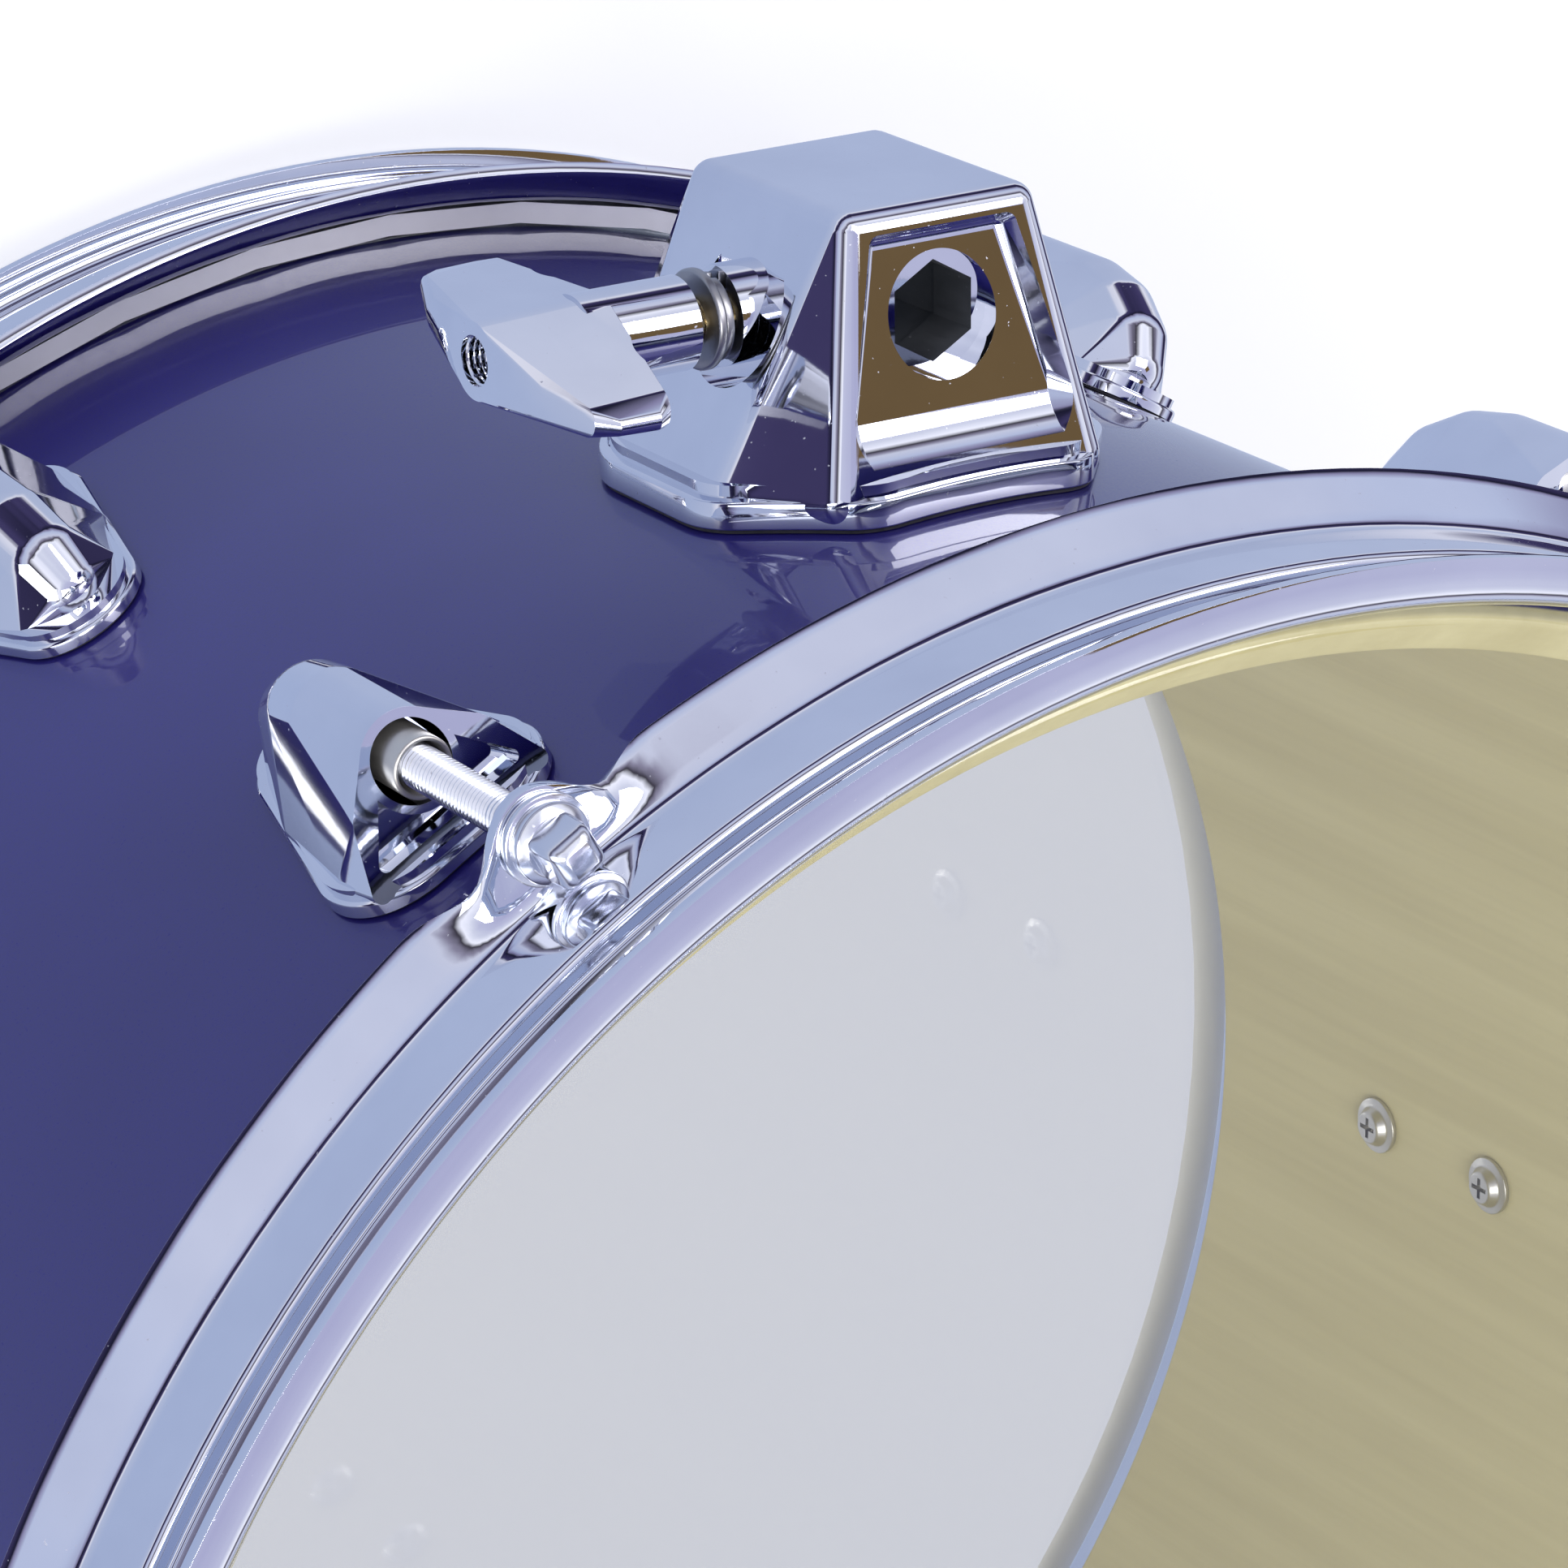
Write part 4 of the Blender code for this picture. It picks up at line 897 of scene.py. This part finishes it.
def makeBracket():
    s = bracketSizes
    r = s["round"]
    corners = []
    for side in (1, -1):
        corners += [
            ball("corner", (s["top"] - r, side * (s["topHalf"] + 0.0008 - r), z), r, 32, 16)
            for z in (s["topFront"] - r, s["topBack"] + r)]
        corners += [
            ball("corner", (s["low"] - 0.0022, side * 0.0168, z), 0.0044, 48, 24)
            for z in (s["frontLow"] - 0.0044, s["backLow"] + 0.0044)]
        corners += [
            ball("corner", (s["low"] - 0.0034, side * 0.0226, z), 0.0056, 48, 24)
            for z in (-0.0545, -0.0770)]
    crown = rod("crown", (s["top"] - 0.0200, 0, -0.0500), (s["top"] - 0.0200, 0, -0.0770), 0.0199, 96)
    body = hulled("bracketBody", corners + [crown])
    bolt = Vector((s["socket"], 0, s["boltZ"]))
    boss = rod("boss", bolt + Vector((0, 0.0120, 0)), bolt + Vector((0, s["bossEnd"], 0)), s["boss"], 64)
    cut(body, rod("washerSeat", bolt + Vector((0, 0.0178, 0)), bolt + Vector((0, 0.0400, 0)), 0.0090, 96))
    lower = pegPlate("bracketPlate", bracketPegs(), 0.1550, 0.1800)
    wrapped(lower, s["plateIn"], s["plateStep"], s["back"], s["front"])
    upper = pegPlate("bracketRim", bracketPegs(), 0.1560, 0.1800, -0.0014)
    wrapped(upper, s["plateIn"] + 0.0010, s["plateOut"], s["back"], s["front"])
    rounded(lower, 0.0007, 3, 50)
    for extra in (boss, upper):
        cut(body, extra, 'UNION')
    wrapped(body, s["plateIn"] + 0.0006, None, s["back"], s["front"])
    outward(body, 0.00001)
    rounded(body, 0.0008, 3, 26)
    body.data.materials.append(chromeFinish)
    carved(body, frontPocket(), chromeFinish)
    face = faceSeat(s["socket"], 0).z - 0.0029
    x = s["socket"]
    recess = rod("recess", (x, 0, face - s["recessDepth"]), (x, 0, face + 0.02), s["recess"], 96)
    carved(body, recess, chromeFinish)
    hexTool = rod("hexSocket", (x, 0, -0.11), (x, 0, -0.02), s["socketCorner"], 6)
    aboutSocket = Matrix.Translation((x, 0, 0))
    hexTool.data.transform(aboutSocket @ Matrix.Rotation(math.pi / 6, 4, 'Z') @ aboutSocket.inverted())
    carved(body, hexTool, castGrey)
    carved(body, block("jawPocket", (0.1795, 0.0015, s["boltZ"]), (0.0340, 0.0260, 0.0102)), castGrey)
    carved(body, rod("boltHole", bolt, bolt + Vector((0, 0.05, 0)), s["boltHole"], 48), castGrey)
    editing(body)
    bpy.ops.mesh.select_all(action='SELECT')
    bpy.ops.mesh.dissolve_limited(angle_limit=math.radians(1.0), delimit={'MATERIAL'})
    finishEdit()
    rounded(body, 0.0003, 2, 45)
    smoothed(body, 36)
    away = Vector((s["frontLow"] - s["topFront"], 0, s["top"] - s["low"])).normalized()
    for face in body.data.polygons:  # the tray's floor mirrors as one flat sheet
        if face.normal.dot(away) > 0.9999:
            face.use_smooth = False
    evened(body)
    smoothed(lower, 38)
    lower.data.materials.append(chromeFinish)
    bracket = joined("mount_bracket_dressed", [body, lower])
    bracket.data.transform(bracketPlace)
    dressed(bracket, None, "chrome", "drum", "mount_bracket")
    gasket = pegPlate("mount_gasket_dressed", bracketPegs(), 0.1550, 0.1800, -0.0005)
    wrapped(gasket, 0.1641, 0.1645, s["back"], s["front"])
    gasket.data.transform(bracketPlace)
    dressed(smoothed(gasket), gasketRubber, "rubber", "drum", "mount_gasket")
    print("bracket")


# clamp: washers and wing bolt, on the bolt's axis as z, with y towards the batter side's far end
boltSeat = Matrix.Translation((bracketSizes["socket"], 0, bracketSizes["boltZ"]))
clampPlace = bracketPlace @ boltSeat @ Matrix.Rotation(-math.pi / 2, 4, 'X')
clampSizes = {
    "springIn": 0.0033, "springOut": 0.0056, "spring": 0.0235, "springThick": 0.0014,
    "flatIn": 0.00305, "flatOut": 0.0064, "flat": 0.0254, "flatThick": 0.0012,
    "hub": 0.0288, "hubRadius": 0.0060, "end": 0.0576, "shank": 0.0029, "tilt": math.radians(11.0),
    # the wing's ribs: distance from the axis, foot, top, radius at the foot and at the top
    "ribs": ((0.0214, 0.0450, 0.0505, 0.0015, 0.0013), (0.0190, 0.0430, 0.0532, 0.0026, 0.0020),
             (0.0120, 0.0420, 0.0560, 0.0034, 0.0025)),
    "hollow": 0.0062, "hollowAside": 0.0122, "hollowHeight": 0.0360, "bore": 0.0032,
}


def makeWashers():
    s = clampSizes
    flatTop = s["flat"] + s["flatThick"]
    flat = turnedPiece("flat_washer_dressed", filleted(
        [(s["flatIn"], s["flat"]), (s["flatIn"], flatTop), (s["flatOut"], flatTop),
         (s["flatOut"], s["flat"]), (s["flatIn"], s["flat"])], [0.0002, 0.0004, 0.0003], 3)[:-1], 64)
    smoothed(flat, 32)
    clearSelection()
    springMiddle = ((s["springIn"] + s["springOut"]) / 2, 0, s["spring"] + 0.0007)
    bpy.ops.mesh.primitive_plane_add(size=1, location=springMiddle, rotation=(math.pi / 2, 0, 0))
    spring = named("spring_washer_dressed")
    spring.scale = (s["springOut"] - s["springIn"], s["springThick"] - 0.0003, 1)
    settled(spring)
    wind = spring.modifiers.new("wind", 'SCREW')
    wind.axis = 'Z'
    wind.angle = math.radians(346)
    wind.screw_offset = 0.00035
    wind.steps = 64
    wind.render_steps = 64
    wind.use_merge_vertices = True
    wind.merge_threshold = 0.000001
    applied(spring)
    editing(spring, 'EDGE')
    bpy.ops.mesh.select_non_manifold()
    bpy.ops.mesh.fill_holes(sides=4)
    finishEdit()
    outward(spring, 0.000001)
    rounded(spring, 0.0002, 2, 50)
    smoothed(spring, 32)
    for piece, node in ((flat, "flat_washer"), (spring, "spring_washer")):
        piece.data.transform(clampPlace)
        dressed(piece, washerSteel, "zinc_plate", "drum", node)
    print("washers")


def makeWingBolt():
    s = clampSizes
    bar = [rod("rib", (0, side * y, low), (0, side * y, high), r0, 32, r1)
           for side in (1, -1) for y, low, high, r0, r1 in s["ribs"]]
    bar.append(rod("rib", (0, 0, 0.0402), (0, 0, s["end"]), 0.0058, 64, 0.0050))
    handle = hulled("wingBar", bar)
    for side in (1, -1):
        y, z = side * s["hollowAside"], s["hollowHeight"]
        cut(handle, rod("hollow", (-0.02, y, z), (0.02, y, z), s["hollow"], 96))
    barrel = rod("barrel", (0, 0, s["hub"]), (0, 0, 0.0440), s["hubRadius"], 64)
    cut(handle, barrel, 'UNION')
    outward(handle, 0.00001)
    rounded(handle, 0.0014, 5, 24)
    cut(handle, rod("threadedHole", (0, 0, s["end"] - 0.0075), (0, 0, s["end"] + 0.01), s["bore"], 48))
    rounded(handle, 0.0002, 2, 60)
    smoothed(handle, 36)
    evened(handle)
    rings = [turnedPiece("holeThread", filleted(
        [(0.0033, z), (0.0028, z + 0.0003), (0.0033, z + 0.0006)], [0.0001], 2), 40) for z in
        [s["end"] - 0.0012 - 0.0008 * k for k in range(7)]]
    wing = joined("wing_bolt_dressed", [handle] + rings)
    wing.data.transform(Matrix.Rotation(-s["tilt"], 4, 'Z'))
    wing.data.transform(clampPlace)
    dressed(wing, chromeFinish, "chrome", "wing_bolt", "wing_bolt")
    screw = threaded("wing_bolt_thread", s["shank"], 0.00245, 0.0010, 0.0075, 0.0305)
    smoothed(screw, 32)
    screw.data.transform(clampPlace)
    dressed(screw, yellowZinc, "zinc_plate", "wing_bolt")
    print("wing bolt")


# air vent, opposite the bracket, and the screws that hold the bracket
ventSizes = {"bore": 0.0050, "flange": 0.0104, "outside": 0.1643, "inside": 0.1565, "tube": 0.0064}
bracketScrews = {
    "turn": math.radians(7.5), "middle": -0.0650, "spacing": 0.0280,
    "head": 0.0046, "shank": 0.0022, "tip": 0.1712,
}


def makeVent():
    s = ventSizes
    vent = turnedPiece("vent_grommet_dressed", filleted(
        [(s["bore"], s["outside"] + 0.0013), (s["flange"] - 0.0012, s["outside"] + 0.0013),
         (s["flange"], s["outside"] + 0.0001), (s["tube"], s["outside"]), (s["tube"], s["inside"]),
         (s["tube"] + 0.0012, s["inside"] - 0.0010), (s["bore"], s["inside"] - 0.0012)],
        [0.0008, 0.0004, 0.0002, 0.0003, 0.0004], 4), 64)
    smoothed(vent, 34)
    middle = (drum["shellTop"] + drum["shellBottom"]) / 2
    vent.data.transform(Matrix.Translation((0, 0, middle)) @ Matrix.Rotation(-math.pi / 2, 4, 'X'))
    dressed(vent, chromeFinish, "chrome", "drum", "vent_grommet")
    print("vent")


def makeBracketScrews():
    s = bracketScrews
    inner = lugSizes["inner"]
    places = [(side * s["turn"], s["middle"] + end * s["spacing"] / 2)
              for side in (1, -1) for end in (1, -1)]
    for i, (turn, z) in enumerate(places):
        head = screwHead("bracketScrewHead", s["head"], 0.0024)
        head.data.transform(Matrix.Translation((inner, 0, z)) @ Matrix.Rotation(-math.pi / 2, 4, 'Y'))
        shank = rod("bracketScrewShank", (inner - 0.0005, 0, z), (s["tip"], 0, z), s["shank"], 24)
        screw = joined(f"bracket_screw_{i + 1}_dressed", [head, shank])
        screw.data.transform(bracketPlace @ Matrix.Rotation(turn, 4, 'Z'))
        dressed(screw, brightZinc, "zinc_plate", "drum", f"bracket_screw_{i + 1}")
    print("bracket screws")


def dressNodes():
    # pieces of the CAD whose own shape is right, mostly hidden, take the finishes
    for name, finish in (("batter_flesh_hoop", satinAlloy), ("resonant_flesh_hoop", satinAlloy),
                         ("clamp_jaw", castGrey)):
        mesh = nodes[name].data
        for place in range(max(1, len(mesh.materials))):
            if place < len(mesh.materials):
                mesh.materials[place] = finish
            else:
                mesh.materials.append(finish)


# studio: floor, sky, soft lamps, a card and a room that only reflections see, and a disc of painted light
# on the floor under the drum
roomRadius = 2.9
cameraSizes = {"place": (0.399, -0.391, 0.747), "lens": 137.1, "sensor": 36.0, "clip": 0.01}


def plainFinish(name, colour, strength=None):
    finish = bpy.data.materials.new(name)
    finish.use_nodes = True
    tree = finish.node_tree
    shader = tree.nodes["Principled BSDF"]
    shader.inputs["Base Color"].default_value = (*colour, 1)
    shader.inputs["Roughness"].default_value = 0.9
    if strength is not None:
        glow = tree.nodes.new("ShaderNodeEmission")
        glow.inputs[0].default_value = (*colour, 1)
        glow.inputs[1].default_value = strength
        tree.links.new(glow.outputs[0], tree.nodes["Material Output"].inputs["Surface"])
    return finish


def card(name, centre, target, width, height, colour, strength):
    # a panel that shows only in reflections
    clearSelection()
    aim = (Vector(target) - Vector(centre)).to_track_quat('Z', 'Y').to_euler()
    bpy.ops.mesh.primitive_plane_add(size=1, location=centre, rotation=aim)
    panel = named(name)
    panel.scale = (width, height, 1)
    panel.data.materials.append(plainFinish(name, colour, strength))
    panel.visible_camera = False
    panel.visible_diffuse = False
    panel.visible_shadow = False
    panel.visible_transmission = False
    return panel


def lamp(name, centre, target, size, power, colour):
    clearSelection()
    bpy.ops.object.light_add(type='AREA', location=centre)
    light = bpy.context.object
    light.name = name
    light.rotation_euler = (Vector(target) - Vector(centre)).to_track_quat('-Z', 'Y').to_euler()
    light.data.shape = 'RECTANGLE'
    light.data.size, light.data.size_y = size
    light.data.energy = power
    light.data.color = colour
    return light


def makeStage():
    clearSelection()
    bpy.ops.mesh.primitive_plane_add(size=6.0, location=(0, 0, -0.0002))
    floor = named("floor")
    floor.data.materials.append(plainFinish("floorPaper", (0.94, 0.94, 0.95)))
    floor.visible_glossy = False
    world = bpy.data.worlds.new("studio")
    bpy.context.scene.world = world
    world.use_nodes = True
    tree = world.node_tree
    ground = tree.nodes["Background"]
    ground.inputs[0].default_value = (0.96, 0.97, 1.0, 1)
    ground.inputs[1].default_value = 1.0
    white = tree.nodes.new("ShaderNodeBackground")
    white.inputs[0].default_value = (1, 1, 1, 1)
    white.inputs[1].default_value = 1.0
    path = tree.nodes.new("ShaderNodeLightPath")
    seen = Wire(tree, path.outputs["Is Camera Ray"]) + Wire(tree, path.outputs["Is Glossy Ray"])
    seen = (seen + Wire(tree, path.outputs["Is Transmission Ray"])).maths('MINIMUM', 1.0)
    both = tree.nodes.new("ShaderNodeMixShader")
    feed(tree, both.inputs[0], seen)
    tree.links.new(ground.outputs[0], both.inputs[1])
    tree.links.new(white.outputs[0], both.inputs[2])
    tree.links.new(both.outputs[0], tree.nodes["World Output"].inputs["Surface"])
    middle = (0, axisShift, 0.12)
    lamp("keyLamp", (-0.5, -0.9, 1.5), middle, (1.1, 0.8), 12.0, (1.0, 0.98, 1.0))
    lamp("fillLamp", (1.4, 0.3, 0.9), middle, (1.0, 1.0), 6.0, (0.92, 0.95, 1.0))
    lamp("insideLamp", (0.5, 0.1, 1.4), middle, (0.5, 0.5), 9.0, (1.0, 0.99, 0.96))
    card("brownCard", (-0.84, -0.29, 1.46), middle, 0.34, 0.38, (0.17, 0.11, 0.05), 1.0)
    makeRoom()
    clearSelection()
    # painted light: a pale lilac disc glows on the floor under the drum, standing in for the light that
    # comes through the clear heads onto the shaded paper
    under = (0, axisShift, 0.0006)
    bpy.ops.mesh.primitive_circle_add(vertices=96, radius=0.160, fill_type='NGON', location=under)
    glow = named("paintedLightUnderDrum")
    glow.data.materials.append(plainFinish("paintedLightGlow", (0.58, 0.60, 0.69), 1.15))


def makeRoom():
    # what the plating mirrors: pale paper below, then bands of dark and light up to a lilac ceiling
    clearSelection()
    bpy.ops.mesh.primitive_uv_sphere_add(segments=64, ring_count=32, radius=roomRadius, location=(0, 0, 0))
    room = named("room")
    finish, tree, shader, place = newFinish("roomBands")
    spread = tree.nodes.new("ShaderNodeSeparateXYZ")
    feed(tree, spread.inputs[0], place)
    height = Wire(tree, spread.outputs[2]) * (0.5 / roomRadius) + 0.5
    soft = noise(place, 0.9, 2.0) * 0.10 - 0.05
    aside = Wire(tree, spread.outputs[0]) * (-0.10 / roomRadius)
    bands = ramp(height + soft + aside, (0.00, (0.42, 0.50, 0.72)), (0.34, (0.52, 0.58, 0.76)),
                 (0.41, (0.86, 0.86, 0.95)), (0.44, (0.06, 0.05, 0.14)), (0.53, (0.012, 0.012, 0.03)),
                 (0.56, (0.30, 0.28, 0.45)), (0.61, (0.56, 0.62, 0.82)), (0.70, (0.70, 0.72, 0.86)),
                 (0.74, (0.30, 0.28, 0.38)), (0.78, (0.04, 0.035, 0.05)), (0.82, (1.1, 1.1, 1.2)),
                 (0.87, (0.80, 0.82, 0.95)), (0.93, (0.62, 0.63, 0.82)), (1.00, (0.50, 0.50, 0.72)))
    shader.inputs["Base Color"].default_value = (0, 0, 0, 1)
    shader.inputs["Specular IOR Level"].default_value = 0.0
    feed(tree, shader.inputs["Emission Color"], bands)
    shader.inputs["Emission Strength"].default_value = 1.0
    room.data.materials.append(finish)
    for ray in ("camera", "diffuse", "shadow", "transmission", "volume_scatter"):
        setattr(room, "visible_" + ray, False)


def makeCamera():
    view = bpy.data.cameras.new("camera")
    holder = bpy.data.objects.new("camera", view)
    bpy.context.scene.collection.objects.link(holder)
    right, up, back = (
        (-0.8402, 0.0108, 0.5421), (-0.1990, -0.9362, -0.2897), (0.5044, -0.3514, 0.7888))
    turned = Matrix((right, up, back)).transposed().to_4x4()
    x, y, z = cameraSizes["place"]
    holder.matrix_world = Matrix.Translation((x, y + axisShift, z)) @ turned
    view.lens = cameraSizes["lens"]
    view.sensor_width = cameraSizes["sensor"]
    view.clip_start = cameraSizes["clip"]
    bpy.context.scene.camera = holder
    bpy.context.scene.view_settings.view_transform = 'Standard'


makeShell()
makeHoops()
makeHeads()
makeRods()
makeNuts()
makeLugs()
makeBracket()
makeWashers()
makeWingBolt()
makeVent()
makeBracketScrews()
dressNodes()
makeStage()
makeCamera()
